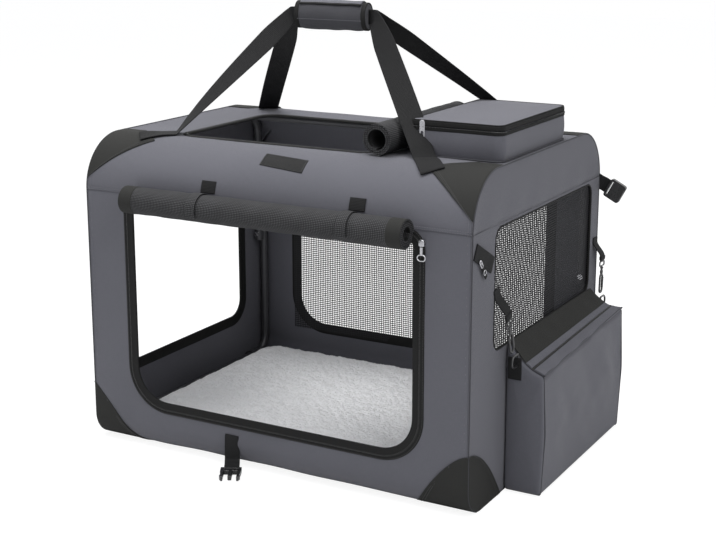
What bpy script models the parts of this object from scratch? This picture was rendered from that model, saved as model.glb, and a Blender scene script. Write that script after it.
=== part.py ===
"""Soft folding dog crate, built piece by piece.

A cloth cover hangs on a folding tube frame. Each end of the frame is a lower
and an upper U of tube, joined at mid height by knee pins. Rails run along the
floor and under the roof between the two ends. When the knees fold inwards, the
roof comes straight down. The roof carries the rolled mesh doors, the pocket and
the carry handle. A storage bag hangs on two strap clips at the right end.

Metres, +Z up, +X along the crate to the bag, the front door faces -Y. The
origin is on the floor under the middle of the cover.
"""
import math

import bmesh
import bpy
from mathutils import Vector

# Driving dimensions of the cover
CRATE_LENGTH = 0.700
CRATE_DEPTH = 0.520
CRATE_HEIGHT = 0.520
ROOF_RADIUS = 0.086
BASE_RADIUS = 0.045
CLOTH = 0.0025
FLOOR_THICK = 0.006
GAP = 0.0003
OVERRUN = 0.010

# Driving dimensions of the tube frame
TUBE_RADIUS = 0.008
TUBE_WALL = 0.0012
LOWER_BEND = 0.035
EYE_RADIUS = 0.012
EYE_WIDTH = 0.018
EYE_CLEARANCE = 0.0008
ROOF_RAIL_Y = 0.176
FLOOR_RAIL_Y = 0.200
BEND_MARGIN = 0.002
KNEE_STUB = 0.012
KNEE_SIDE_GAP = 0.0006
PIN_RADIUS = 0.003
PIN_CLEARANCE = 0.0004
PIN_HEAD_RADIUS = 0.005
PIN_HEAD = 0.002

# Driving dimensions of the openings
DOOR_WIDTH = 0.530
DOOR_SILL = 0.078
DOOR_TOP_STRIP = 0.008
DOOR_CORNER = 0.065
DOOR_TOP_CORNER = 0.020
SIDE_WIDTH = 0.380
SIDE_SILL = 0.100
SIDE_TOP = 0.428
SIDE_CORNER = 0.040
WINDOW_CENTRE_Y = 0.022
WINDOW_WIDTH = 0.400
WINDOW_CORNER = 0.018
HATCH_LEFT = -0.228
HATCH_RIGHT = 0.135
HATCH_FRONT = -0.160
HATCH_BACK = 0.105
HATCH_CORNER = 0.030
NET_BORDER = 0.010
NET_STRAND = 0.003
NET_THICK = 0.001
BACK_NET_COLUMNS = 13
BACK_NET_ROWS = 9
SIDE_NET_COLUMNS = 10
SIDE_NET_ROWS = 8

# Driving dimensions of the rolled doors and their ties
FRONT_ROLL_RADIUS = 0.024
FRONT_ROLL_LENGTH = 0.506
FRONT_ROLL_X = 0.004
SIDE_ROLL_RADIUS = 0.020
ROOF_ROLL_RADIUS = 0.026
ROOF_ROLL_FRONT = -0.182
ROLL_CORE = 0.005
ROLL_GAP = 0.0014
ROLL_TURNS = 3
ROLL_DROP = 0.003
ROOF_ROLL_X = 0.151
TIE_WIDTH = 0.022
TIE_THICK = 0.0015
TIE_TOP = 0.031
TIE_SEWN = 0.006
TIE_START_DEG = 55
TIE_END_DEG = 200
FRONT_TIE_LEFT_X = -0.108
FRONT_TIE_RIGHT_X = 0.160

# Driving dimensions of the corner patches
PATCH_THICK = 0.0012
PATCH_EDGE = 0.0003
ROOF_PATCH_DROP = 0.065
ROOF_PATCH_REACH = 0.100
ROOF_PATCH_RUN = 0.020
ROOF_PATCH_TOP_REACH = 0.045
BASE_PATCH_RISE = 0.100
BASE_PATCH_REACH = 0.108
BASE_PATCH_SIDE = 0.118
BASE_PATCH_MARGIN = 0.003

# Driving dimensions of the fleece mat
MAT_LENGTH = 0.630
MAT_DEPTH = 0.462
MAT_THICK = 0.012
MAT_CROWN = 0.007
MAT_CORNER = 0.030
MAT_DRAWN_SHARE = 0.97
MAT_RING_SHARE = 0.86
MAT_RING_LIFT_SHARE = 0.55
MAT_INNER_SHARE = 0.55

# Driving dimensions of the roof pocket
POCKET_LEFT = 0.190
POCKET_LENGTH = 0.152
POCKET_FRONT = -0.145
POCKET_DEPTH = 0.255
POCKET_WALL_HEIGHT = 0.046
POCKET_LID = 0.010
POCKET_CLOTH = 0.003
POCKET_CORNER = 0.012
LID_AXIS_OUT = 0.0015

# Driving dimensions of the carry handle
HANDLE_X = 0.250
GRIP_LENGTH = 0.132
GRIP_HEIGHT = 0.046
GRIP_THICK = 0.030
GRIP_CENTRE_Y = -0.050
GRIP_CENTRE_Z = 0.718
STRAP_WIDTH = 0.038
STRAP_TOP_WIDTH = 0.026
STRAP_THICK = 0.002
STRAP_PAIR_GAP = 0.001
STRAP_SEWN_DEG = 50
STRAP_LEAVE_DEG = 64
STRAP_SLANT_DEG = 36
STRAP_LEAD = 0.010
STRAP_LIFT = 0.06

# Driving dimensions of the storage bag
BAG_FRONT = -0.130
BAG_LENGTH = 0.360
BAG_THICK = 0.060
BAG_BULGE = 0.004
BAG_FLOOR = 0.001
BAG_OUTER_HEIGHT = 0.195
BAG_INNER_HEIGHT = 0.243
BAG_CLOTH = 0.002
BAG_FLAP = 0.002
BAG_FLAP_SHARE = 0.60
BAG_RIM_SHARE = 0.08
BAG_MOUTH_SHARE = 0.52
STRAP_FLAT_SHARE = 0.18

# Driving dimensions of the strap clips at the right end
HOOK_X = 0.016
HOOK_THICK = 0.004
HOOK_WIDTH = 0.016
HOOK_WIRE = 0.0035
HOOK_LOOP = 0.036
HOOK_NECK_WIDTH = 0.008
HOOK_NECK = 0.012
RING_WIDTH = 0.024
RING_HEIGHT = 0.010
RING_WIRE = 0.0025
CLIP_STRAP_WIDTH = 0.020
CLIP_STRAP_THICK = 0.002
FRONT_STRAP_LENGTH = 0.052
REAR_STRAP_LENGTH = 0.039
TOP_CLIP_LENGTH = 0.040
TOP_CLIP_WIDTH = 0.011
TOP_CLIP_THICK = 0.003
TOP_CLIP_Y = -0.2425
TOP_CLIP_Z = 0.3955
TOP_CLIP_TILT_DEG = 38.0
FRONT_CHAIN_Y = -0.174
FRONT_CHAIN_Z = 0.337
FRONT_CHAIN_TILT_DEG = 16.2
REAR_CHAIN_Y = 0.2485
REAR_CHAIN_Z = 0.3284
REAR_CHAIN_TILT_DEG = -3.0
TAB_Y = -0.2215
TAB_Z = 0.3935
TAB_LENGTH = 0.070
TAB_WIDTH = 0.026
TAB_TILT_DEG = -28.0
D_RING_WIDTH = 0.026
D_RING_DEPTH = 0.022
D_RING_WIRE = 0.0035
D_RING_HEIGHT = 0.218
D_RING_CLEARANCE = 0.001

# Driving dimensions of the closing straps and their buckles
CLOSING_X = -0.070
CLOSING_WIDTH = 0.025
CLOSING_THICK = 0.0016
CLOSING_RISE = 0.056
CLOSING_RUN = 0.020
CLOSING_BEND = 0.010
CLOSING_TURN_DEG = 29
BUCKLE_WIDTH = 0.034
BUCKLE_THICK = 0.008
BUCKLE_BASE = 0.014
BUCKLE_SLOT = 0.004
PRONG_LENGTH = 0.026
PRONG_WIDTH = 0.006
BUCKLE_LIFT = 0.0015
BACK_STRAP_X = 0.338
BACK_STRAP_Z = 0.432
BACK_STRAP_LENGTH = 0.030
BACK_STRAP_TILT_DEG = 62
FEMALE_LENGTH = 0.030
FEMALE_MOUTH = 0.004

# Driving dimensions of the zip sliders and pulls
SLIDER_WIDTH = 0.009
SLIDER_HEIGHT = 0.010
SLIDER_THICK = 0.005
PULL_WIDTH = 0.009
PULL_LENGTH = 0.022
PULL_THICK = 0.0015
PULL_HOLE_WIDTH = 0.0045
PULL_HOLE_LENGTH = 0.009
FRONT_SLIDER_X = 0.271
FRONT_SLIDER_DROP = 0.018
POCKET_PULL_LENGTH = 0.024
PULL_OFFSET = 0.0006

# Round detail
ARC_STEPS = 7
TUBE_SIDES = 12
BEND_STEPS = 5
ROLL_STEPS = 14
SMALL_STEPS = 4
STRAP_STEPS = 9
TUBE_SMOOTH_DEG = 40
PAD_SMOOTH_DEG = 60

# Places worked out from the driving dimensions
END_X = CRATE_LENGTH / 2
SIDE_Y = CRATE_DEPTH / 2
INNER_X = END_X - CLOTH - GAP
ROOF_ARC_Y = SIDE_Y - ROOF_RADIUS
SEAM_HEIGHT = CRATE_HEIGHT - ROOF_RADIUS
PIVOT_X = END_X - CLOTH - GAP - EYE_RADIUS
FOOT_Z = FLOOR_THICK + GAP + EYE_RADIUS
RAIL_EDGE_Y = ROOF_RAIL_Y + EYE_WIDTH / 2
ROOF_INNER = (ROOF_RADIUS - CLOTH) * math.cos(math.pi / 4 / ARC_STEPS)
ROOF_SLOPE_Y = max(RAIL_EDGE_Y - ROOF_ARC_Y, 0)
HEAD_Z = SEAM_HEIGHT + math.sqrt(ROOF_INNER ** 2 - ROOF_SLOPE_Y ** 2) - GAP - EYE_RADIUS
KNEE_Z = (FOOT_Z + HEAD_Z) / 2
LOWER_LEG_Y = SIDE_Y - CLOTH - GAP - TUBE_RADIUS
UPPER_LEG_Y = LOWER_LEG_Y - 2 * TUBE_RADIUS - KNEE_SIDE_GAP
UPPER_BEND = UPPER_LEG_Y - RAIL_EDGE_Y - BEND_MARGIN
DOOR_TOP = SEAM_HEIGHT - DOOR_TOP_STRIP
ROLL_Z = SEAM_HEIGHT - ROLL_DROP
BAG_X = END_X + PATCH_EDGE + PATCH_THICK + GAP
D_RING_X = END_X + HOOK_X + (HOOK_THICK + D_RING_WIRE) / 2 + D_RING_CLEARANCE


def material(name, colour, roughness, metallic=0.0):
    made = bpy.data.materials.new(name)
    made.use_nodes = True
    shader = made.node_tree.nodes["Principled BSDF"]
    shader.inputs["Base Color"].default_value = (*colour, 1.0)
    shader.inputs["Roughness"].default_value = roughness
    shader.inputs["Metallic"].default_value = metallic
    return made


def clear_scene():
    for thing in list(bpy.data.objects):
        bpy.data.objects.remove(thing, do_unlink=True)


def make_materials():
    return {
        "oxford": material("grey_oxford_cloth", (0.115, 0.115, 0.135), 0.85),
        "black": material("black_oxford_cloth", (0.032, 0.032, 0.032), 0.80),
        "webbing": material("black_webbing", (0.022, 0.022, 0.023), 0.75),
        "mesh": material("black_mesh", (0.018, 0.018, 0.020), 0.80),
        "fleece": material("white_fleece", (0.62, 0.62, 0.63), 0.95),
        "steel": material("painted_tube", (0.055, 0.055, 0.060), 0.45, 0.6),
        "bright": material("bright_metal", (0.70, 0.70, 0.72), 0.25, 1.0),
        "plastic": material("black_plastic", (0.012, 0.012, 0.013), 0.35),
    }


def pivot(name, at, parent=None):
    """An empty on a joint's axis. Its parent is the pivot that carries it."""
    made = bpy.data.objects.new(name, None)
    bpy.context.collection.objects.link(made)
    made["at"] = tuple(at)
    made.parent = parent
    made.location = Vector(at) - (Vector(parent["at"]) if parent else Vector())
    return made


def piece(name, shape, look, at=(0, 0, 0), carrier=None, turn=None, smooth_deg=None):
    """An object from a bmesh whose points are measured from the place `at`."""
    bmesh.ops.recalc_face_normals(shape, faces=shape.faces)
    mesh = bpy.data.meshes.new(name)
    shape.to_mesh(mesh)
    shape.free()
    if smooth_deg is not None:
        mesh.shade_smooth()
        mesh.set_sharp_from_angle(angle=math.radians(smooth_deg))
    made = bpy.data.objects.new(name, mesh)
    bpy.context.collection.objects.link(made)
    if look:
        mesh.materials.append(look)
    made.parent = carrier
    made.location = Vector(at) - (Vector(carrier["at"]) if carrier else Vector())
    if turn:
        made.rotation_euler = turn
    return made


def boolean(target, shape, operation, at=(0, 0, 0), turn=None):
    """Cut a shape out of a piece, or join it on, in the piece's own frame."""
    tool = piece(f"{target.name}_tool", shape, None)
    tool.parent = target
    tool.location = at
    if turn:
        tool.rotation_euler = turn
    tool.hide_render = True
    tool.display_type = "WIRE"
    step = target.modifiers.new(operation.lower(), "BOOLEAN")
    step.operation = operation
    step.solver = "EXACT"
    step.object = tool


def to_space(axis, across, up, along):
    """A point of an outline, set up for an extrusion along X, Y or Z."""
    return {"x": (along, across, up), "y": (across, along, up), "z": (across, up, along)}[axis]


def prism(outline, axis, low, high):
    """A closed outline pushed along an axis."""
    shape = bmesh.new()
    near = [shape.verts.new(to_space(axis, a, u, low)) for a, u in outline]
    far = [shape.verts.new(to_space(axis, a, u, high)) for a, u in outline]
    shape.faces.new(near)
    shape.faces.new(list(reversed(far)))
    for n in range(len(outline)):
        m = (n + 1) % len(outline)
        shape.faces.new((near[n], far[n], far[m], near[m]))
    return shape


def ring_prism(outer, inner, axis, low, high):
    """A flat ring between two outlines with as many points each."""
    shape = bmesh.new()
    rows = [
        [shape.verts.new(to_space(axis, a, u, along)) for a, u in outline]
        for outline, along in ((outer, low), (outer, high), (inner, high), (inner, low))
    ]
    for k in range(len(rows)):
        here, there = rows[k], rows[(k + 1) % len(rows)]
        for n in range(len(outer)):
            m = (n + 1) % len(outer)
            shape.faces.new((here[n], there[n], there[m], here[m]))
    return shape


def arc(centre, radius, start_deg, end_deg, steps):
    points = []
    for n in range(steps + 1):
        angle = math.radians(start_deg + (end_deg - start_deg) * n / steps)
        points.append((centre[0] + radius * math.cos(angle), centre[1] + radius * math.sin(angle)))
    return points


def arc_over(centre, radius, start_deg, end_deg, steps, thick=0.0):
    """An arc whose flats, and not only its corners, stand clear of a radius."""
    half_step = math.radians(abs(end_deg - start_deg) / steps / 2)
    return arc(centre, radius / math.cos(half_step) + thick, start_deg, end_deg, steps)


def rounded(left, right, low, high, corners, steps=SMALL_STEPS):
    """A rectangle with its own radius at each corner, from low left round to the right."""
    low_left, low_right, high_right, high_left = corners
    points = arc((left + low_left, low + low_left), low_left, 180, 270, steps)
    points += arc((right - low_right, low + low_right), low_right, 270, 360, steps)
    points += arc((right - high_right, high - high_right), high_right, 0, 90, steps)
    points += arc((left + high_left, high - high_left), high_left, 90, 180, steps)
    return points


def box(low, high):
    outline = [(low[0], low[1]), (high[0], low[1]), (high[0], high[1]), (low[0], high[1])]
    return prism(outline, "z", low[2], high[2])


def circle(radius, steps):
    return arc((0, 0), radius, 0, 360, steps)[:-1]


def tube_shell(path, radius, wall, sides):
    """A bent tube with open ends along a path in one upright plane across X."""
    shape = bmesh.new()
    outside, inside = [], []
    for n, point in enumerate(path):
        before, after = path[max(n - 1, 0)], path[min(n + 1, len(path) - 1)]
        run = (Vector(after) - Vector(before)).normalized()
        side = Vector((1, 0, 0))
        across = run.cross(side)
        for rows, size in ((outside, radius), (inside, radius - wall)):
            row = []
            for k in range(sides):
                angle = 2 * math.pi * (k + 0.5) / sides
                offset = side * math.cos(angle) + across * math.sin(angle)
                row.append(shape.verts.new(Vector(point) + size * offset))
            rows.append(row)
    for rows in (outside, inside):
        for here, there in zip(rows, rows[1:]):
            for k in range(sides):
                m = (k + 1) % sides
                shape.faces.new((here[k], here[m], there[m], there[k]))
    for end in (0, -1):
        for k in range(sides):
            m = (k + 1) % sides
            shape.faces.new((outside[end][k], outside[end][m], inside[end][m], inside[end][k]))
    return shape


def strip_shell(stations):
    """A thin skin from stations of (inner point, outer point) pairs on both of its edges."""
    shape = bmesh.new()
    rows = [[shape.verts.new(p) for p in station] for station in stations]
    for here, there in zip(rows, rows[1:]):
        for k in range(4):
            m = (k + 1) % 4
            shape.faces.new((here[k], here[m], there[m], there[k]))
    shape.faces.new(rows[0])
    shape.faces.new(list(reversed(rows[-1])))
    return shape


def ribbon(path, widths, sides, thick):
    """Webbing along a path. `sides` gives the direction of its width at each point."""
    stations = []
    for n, point in enumerate(path):
        run = path[min(n + 1, len(path) - 1)] - path[max(n - 1, 0)]
        side = sides[n].normalized()
        face = side.cross(run).normalized()
        wide, deep = side * widths[n] / 2, face * thick / 2
        low, high = point - deep, point + deep
        stations.append((low - wide, low + wide, high + wide, high - wide))
    return strip_shell(stations)


def roof_path(offset, side):
    """The roof's outline from its seam up to the start of its flat."""
    points = [(side * (SIDE_Y + offset), SEAM_HEIGHT + GAP / 2)]
    for y, z in arc((ROOF_ARC_Y, SEAM_HEIGHT), ROOF_RADIUS + offset, 0, 90, ARC_STEPS)[1:]:
        points.append((side * y, z))
    return points


def bend_y(z, offset):
    """How far out the roof's bend stands at a height."""
    return ROOF_ARC_Y + math.sqrt((ROOF_RADIUS + offset) ** 2 - (z - SEAM_HEIGHT) ** 2)


def base_path(offset, high, side):
    """The base's outline from the height `high` down to where the floor starts."""
    points = [(side * (SIDE_Y + offset), high)]
    centre = (SIDE_Y - BASE_RADIUS, BASE_RADIUS)
    for y, z in arc(centre, BASE_RADIUS + offset, 0, -90, ARC_STEPS):
        points.append((side * y, z))
    return points


def end_outline(offset=0.0):
    """The crate's whole outline, seen from its end."""
    roof_front, roof_back = roof_path(offset, -1), roof_path(offset, 1)
    base_front = base_path(offset, BASE_RADIUS, -1)[1:]
    base_back = base_path(offset, BASE_RADIUS, 1)[1:]
    return roof_front + roof_back[::-1] + base_back + base_front[::-1]


def side_wall(name, side, look):
    """The front or back wall, from under the base up to the roof's seam."""
    top = SEAM_HEIGHT - GAP / 2
    outline = base_path(0.0, top, side) + base_path(-CLOTH, top, side)[::-1]
    wall = piece(name, prism(outline, "x", -INNER_X, INNER_X), look)
    half = DOOR_WIDTH / 2
    corners = (DOOR_CORNER, DOOR_CORNER, DOOR_TOP_CORNER, DOOR_TOP_CORNER)
    hole = rounded(-half, half, DOOR_SILL, DOOR_TOP, corners, BEND_STEPS)
    near, far = sorted((side * (SIDE_Y + OVERRUN), side * (SIDE_Y - CLOTH - OVERRUN)))
    boolean(wall, prism(hole, "y", near, far), "DIFFERENCE")


def end_wall(name, side, centre, width, corner, look):
    """The left or right wall with its opening."""
    near, far = sorted((side * END_X, side * (END_X - CLOTH)))
    wall = piece(name, prism(end_outline(), "x", near, far), look)
    hole = rounded(centre - width / 2, centre + width / 2, SIDE_SILL, SIDE_TOP, (corner,) * 4)
    cut = prism(hole, "x", near - OVERRUN, far + OVERRUN)
    boolean(wall, cut, "DIFFERENCE")


def roof_cover(look, carrier):
    outer = roof_path(0.0, -1) + roof_path(0.0, 1)[::-1]
    inner = roof_path(-CLOTH, -1) + roof_path(-CLOTH, 1)[::-1]
    shape = prism(outer + inner[::-1], "x", -INNER_X, INNER_X)
    cover = piece("roof_cover", shape, look, carrier=carrier)
    hole = rounded(HATCH_LEFT, HATCH_RIGHT, HATCH_FRONT, HATCH_BACK, (HATCH_CORNER,) * 4)
    cut = prism(hole, "z", CRATE_HEIGHT - CLOTH - OVERRUN, CRATE_HEIGHT + OVERRUN)
    boolean(cover, cut, "DIFFERENCE")


def floor_panel(look):
    half_y = SIDE_Y - BASE_RADIUS - GAP
    piece("floor_panel", box((-INNER_X, -half_y, 0), (INNER_X, half_y, FLOOR_THICK)), look)


def net_lines(size, gaps):
    """Where the strands start and end across a net of this size, border included."""
    pitch = (size - 2 * NET_BORDER + NET_STRAND) / gaps
    lines = [-size / 2]
    for n in range(gaps):
        start = -size / 2 + NET_BORDER + n * pitch
        lines += [start, start + pitch - NET_STRAND]
    return lines + [size / 2]


def net(name, middle, width, low, high, columns, rows, axis, near, look):
    """A flat net with a border. Its strands stand between square gaps."""
    centre = (low + high) / 2
    across = [middle + a for a in net_lines(width, columns)]
    up = [centre + z for z in net_lines(high - low, rows)]
    shape = bmesh.new()
    faces = []
    for along in (near, near + NET_THICK):
        faces.append([[shape.verts.new(to_space(axis, a, u, along)) for u in up] for a in across])
    front, back = faces
    for i in range(len(across) - 1):
        for j in range(len(up) - 1):
            corners = [(i, j), (i + 1, j), (i + 1, j + 1), (i, j + 1)]
            if i % 2 and j % 2:
                for k in range(4):
                    (a, b), (c, d) = corners[k], corners[(k + 1) % 4]
                    shape.faces.new((front[a][b], front[c][d], back[c][d], back[a][b]))
                continue
            for grid in (front, back):
                shape.faces.new([grid[a][b] for a, b in corners])
    last_i, last_j = len(across) - 1, len(up) - 1
    for i in range(last_i):
        for j in (0, last_j):
            shape.faces.new((front[i][j], front[i + 1][j], back[i + 1][j], back[i][j]))
    for j in range(last_j):
        for i in (0, last_i):
            shape.faces.new((front[i][j], front[i][j + 1], back[i][j + 1], back[i][j]))
    piece(name, shape, look)


def spiral(radius, turns):
    """A rolled sheet seen from its end: its outer side in to the core, then its inner side back."""
    pitch = (radius - ROLL_CORE) / turns
    sheet = pitch - ROLL_GAP
    outer, inner = [], []
    for n in range(turns * ROLL_STEPS + 1):
        size = radius - pitch * n / ROLL_STEPS
        angle = 2 * math.pi * n / ROLL_STEPS
        outer.append((size * math.cos(angle), size * math.sin(angle)))
        inner.append(((size - sheet) * math.cos(angle), (size - sheet) * math.sin(angle)))
    return outer + inner[::-1]


def rolled_door(name, radius, length, axis, start_deg, at, carrier, look):
    """A mesh door rolled up: one sheet wound round a small core, widest towards `start_deg`."""
    outline = spiral(radius, ROLL_TURNS)
    turn = math.radians(start_deg)
    turned = [
        (a * math.cos(turn) - u * math.sin(turn), a * math.sin(turn) + u * math.cos(turn))
        for a, u in outline
    ]
    piece(name, prism(turned, axis, -length / 2, length / 2), look, at, carrier, smooth_deg=TUBE_SMOOTH_DEG)
    count = ROLL_TURNS * ROLL_STEPS + 1
    outer, inner = outline[:count], outline[count:][::-1]
    least = min(math.dist(outer[n + ROLL_STEPS], inner[n]) for n in range(count - ROLL_STEPS))
    print(name, "least gap between its turns", round(least, 5), "m")


def doors(looks, roof):
    """The three rolled mesh doors, and the ties of the front one."""
    front_at = (FRONT_ROLL_X, -SIDE_Y - GAP - FRONT_ROLL_RADIUS, ROLL_Z)
    left_at = (-END_X - GAP - SIDE_ROLL_RADIUS, 0, ROLL_Z)
    roof_y = (ROOF_ROLL_FRONT + HATCH_BACK) / 2
    roof_at = (ROOF_ROLL_X, roof_y, CRATE_HEIGHT + GAP + ROOF_ROLL_RADIUS)
    mesh = looks["mesh"]
    rolled_door("front_door_roll", FRONT_ROLL_RADIUS, FRONT_ROLL_LENGTH, "x", 0, front_at, roof, mesh)
    rolled_door("left_door_roll", SIDE_ROLL_RADIUS, SIDE_WIDTH, "y", 0, left_at, roof, mesh)
    roof_run = HATCH_BACK - ROOF_ROLL_FRONT
    rolled_door("roof_door_roll", ROOF_ROLL_RADIUS, roof_run, "y", 270, roof_at, roof, mesh)
    tie_tab("front_tie_left", FRONT_TIE_LEFT_X, looks["webbing"], roof)
    tie_tab("front_tie_right", FRONT_TIE_RIGHT_X, looks["webbing"], roof)


def tie_tab(name, x, look, carrier):
    """Webbing from above the seam, over the top and the front of the rolled door."""
    near = -SIDE_Y - GAP
    centre = (near - FRONT_ROLL_RADIUS, ROLL_Z)
    inner = FRONT_ROLL_RADIUS + GAP
    outline = arc(centre, inner, TIE_START_DEG, TIE_END_DEG, ARC_STEPS)
    outline += arc(centre, inner + TIE_THICK, TIE_END_DEG, TIE_START_DEG, ARC_STEPS)
    for z in (ROLL_Z + TIE_TOP, ROLL_Z + TIE_TOP - TIE_SEWN):
        outline.append((-bend_y(z, GAP), z))
    shape = prism(outline, "x", -TIE_WIDTH / 2, TIE_WIDTH / 2)
    piece(name, shape, look, (x, 0, 0), carrier)


def lower_u(name, x, carrier, look):
    """Two legs and the floor bar that they turn on."""
    path = [Vector((0, -LOWER_LEG_Y, KNEE_Z - FOOT_Z + KNEE_STUB))]
    centre_y = LOWER_LEG_Y - LOWER_BEND
    for y, z in arc((-centre_y, LOWER_BEND), LOWER_BEND, 180, 270, BEND_STEPS):
        path.append(Vector((0, y, z)))
    for y, z in arc((centre_y, LOWER_BEND), LOWER_BEND, 270, 360, BEND_STEPS):
        path.append(Vector((0, y, z)))
    path.append(Vector((0, LOWER_LEG_Y, KNEE_Z - FOOT_Z + KNEE_STUB)))
    shape = tube_shell(path, TUBE_RADIUS, TUBE_WALL, TUBE_SIDES)
    made = piece(name, shape, look, (x, 0, FOOT_Z), carrier, smooth_deg=TUBE_SMOOTH_DEG)
    knee_holes(made, KNEE_Z - FOOT_Z)


def upper_u(name, x, carrier, look):
    """Two legs and the roof bar that the rails hang on."""
    top = HEAD_Z - KNEE_Z
    path = [Vector((0, -UPPER_LEG_Y, -KNEE_STUB))]
    centre_y = UPPER_LEG_Y - UPPER_BEND
    for y, z in arc((-centre_y, top - UPPER_BEND), UPPER_BEND, 180, 90, BEND_STEPS):
        path.append(Vector((0, y, z)))
    for y, z in arc((centre_y, top - UPPER_BEND), UPPER_BEND, 90, 0, BEND_STEPS):
        path.append(Vector((0, y, z)))
    path.append(Vector((0, UPPER_LEG_Y, -KNEE_STUB)))
    shape = tube_shell(path, TUBE_RADIUS, TUBE_WALL, TUBE_SIDES)
    made = piece(name, shape, look, (x, 0, KNEE_Z), carrier, smooth_deg=TUBE_SMOOTH_DEG)
    knee_holes(made, 0)


def knee_holes(leg, height):
    hole = circle(PIN_RADIUS + PIN_CLEARANCE, TUBE_SIDES)
    hole = [(x, z + height) for x, z in hole]
    boolean(leg, prism(hole, "y", -SIDE_Y, SIDE_Y), "DIFFERENCE")


def knee_pin(name, x, side, carrier, look):
    """A rivet through both legs. Its head is on the inner leg."""
    outer_y = side * (LOWER_LEG_Y + TUBE_RADIUS)
    inner_y = side * (UPPER_LEG_Y - TUBE_RADIUS - GAP)
    near, far = sorted((outer_y, inner_y))
    shank = prism(circle(PIN_RADIUS, TUBE_SIDES), "y", near, far)
    made = piece(name, shank, look, (x, 0, KNEE_Z), carrier)
    head = sorted((inner_y, inner_y - side * PIN_HEAD))
    boolean(made, prism(circle(PIN_HEAD_RADIUS, TUBE_SIDES), "y", *head), "UNION")


def rail(name, y, carrier, z, look):
    """A tube along X with an eye at each end. Its bore runs into both eyes."""
    tube = prism(circle(TUBE_RADIUS, TUBE_SIDES), "x", -PIVOT_X, PIVOT_X)
    made = piece(name, tube, look, (0, y, z), carrier)
    half = EYE_WIDTH / 2
    for side in (-1, 1):
        eye = prism(circle(EYE_RADIUS, TUBE_SIDES + SMALL_STEPS), "y", -half, half)
        boolean(made, eye, "UNION", (side * PIVOT_X, 0, 0))
    bore = prism(circle(TUBE_RADIUS - TUBE_WALL, TUBE_SIDES), "x", -PIVOT_X, PIVOT_X)
    boolean(made, bore, "DIFFERENCE")
    for side in (-1, 1):
        hole = circle(TUBE_RADIUS + EYE_CLEARANCE, TUBE_SIDES + SMALL_STEPS)
        cut = prism(hole, "y", -EYE_WIDTH, EYE_WIDTH)
        boolean(made, cut, "DIFFERENCE", (side * PIVOT_X, 0, 0))


def roof_patch_start():
    """How far round the roof's bend its corner patches start, in degrees."""
    rise = (CRATE_HEIGHT - ROOF_PATCH_DROP - SEAM_HEIGHT) / ROOF_RADIUS
    return math.degrees(math.asin(max(min(rise, 1), 0)))


def roof_patch(name, end, side, look, carrier):
    """A black corner skin on the roof, widest half way round the bend."""
    first = roof_patch_start()
    centre = (ROOF_ARC_Y, SEAM_HEIGHT)
    inner = arc_over(centre, ROOF_RADIUS + PATCH_EDGE, first, 90, ARC_STEPS)
    outer = arc_over(centre, ROOF_RADIUS + PATCH_EDGE, first, 90, ARC_STEPS, PATCH_THICK)
    inner.append((ROOF_ARC_Y - ROOF_PATCH_RUN, inner[-1][1]))
    outer.append((ROOF_ARC_Y - ROOF_PATCH_RUN, outer[-1][1]))
    stations = []
    last = len(inner) - 1
    widest = ARC_STEPS - 2
    for n, ((y, z), (out_y, out_z)) in enumerate(zip(inner, outer)):
        if n <= widest:
            reach = PATCH_THICK + (ROOF_PATCH_REACH - PATCH_THICK) * n / widest
        else:
            fall = (n - widest) / (last - widest)
            reach = ROOF_PATCH_REACH + (ROOF_PATCH_TOP_REACH - ROOF_PATCH_REACH) * fall
        edge, start = end * (END_X - PATCH_EDGE), end * (END_X - PATCH_EDGE - reach)
        stations.append((
            (edge, side * y, z), (edge, side * out_y, out_z),
            (start, side * out_y, out_z), (start, side * y, z),
        ))
    piece(name, strip_shell(stations), look, carrier=carrier)


def base_patch(name, end, side, look):
    """A black corner skin at the base, on the wall and on the end."""
    near, far = PATCH_EDGE, PATCH_EDGE + PATCH_THICK
    centre = (SIDE_Y - BASE_RADIUS, BASE_RADIUS)
    lowest = math.degrees(math.asin(BASE_RADIUS / (BASE_RADIUS + BASE_PATCH_MARGIN)))
    inner = arc_over(centre, BASE_RADIUS + near, 0, -lowest, ARC_STEPS)
    outer = arc_over(centre, BASE_RADIUS + near, 0, -lowest, ARC_STEPS, PATCH_THICK)
    inner.insert(0, (inner[0][0], BASE_PATCH_RISE))
    outer.insert(0, (outer[0][0], BASE_PATCH_RISE))
    edge = end * (END_X + far)
    stations = []
    for (y, z), (out_y, out_z) in zip(inner, outer):
        share = (BASE_PATCH_RISE - out_z) / BASE_PATCH_RISE
        start = end * (END_X + far - PATCH_THICK - BASE_PATCH_REACH * share)
        stations.append((
            (edge, side * y, z), (edge, side * out_y, out_z),
            (start, side * out_y, out_z), (start, side * y, z),
        ))
    made = piece(name, strip_shell(stations), look)
    end_face = [(side * y, z) for y, z in outer]
    end_face.append((side * (SIDE_Y - BASE_PATCH_SIDE), end_face[-1][1]))
    sag = BASE_PATCH_RISE / SMALL_STEPS
    for n in range(1, SMALL_STEPS):
        share = n / SMALL_STEPS
        y = SIDE_Y - BASE_PATCH_SIDE * (1 - share)
        z = BASE_PATCH_RISE * share + sag * math.sin(math.pi * share)
        end_face.append((side * y, min(z, BASE_PATCH_RISE)))
    near_x, far_x = sorted((end * (END_X + near), end * (END_X + far)))
    boolean(made, prism(end_face, "x", near_x, far_x), "UNION")


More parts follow.
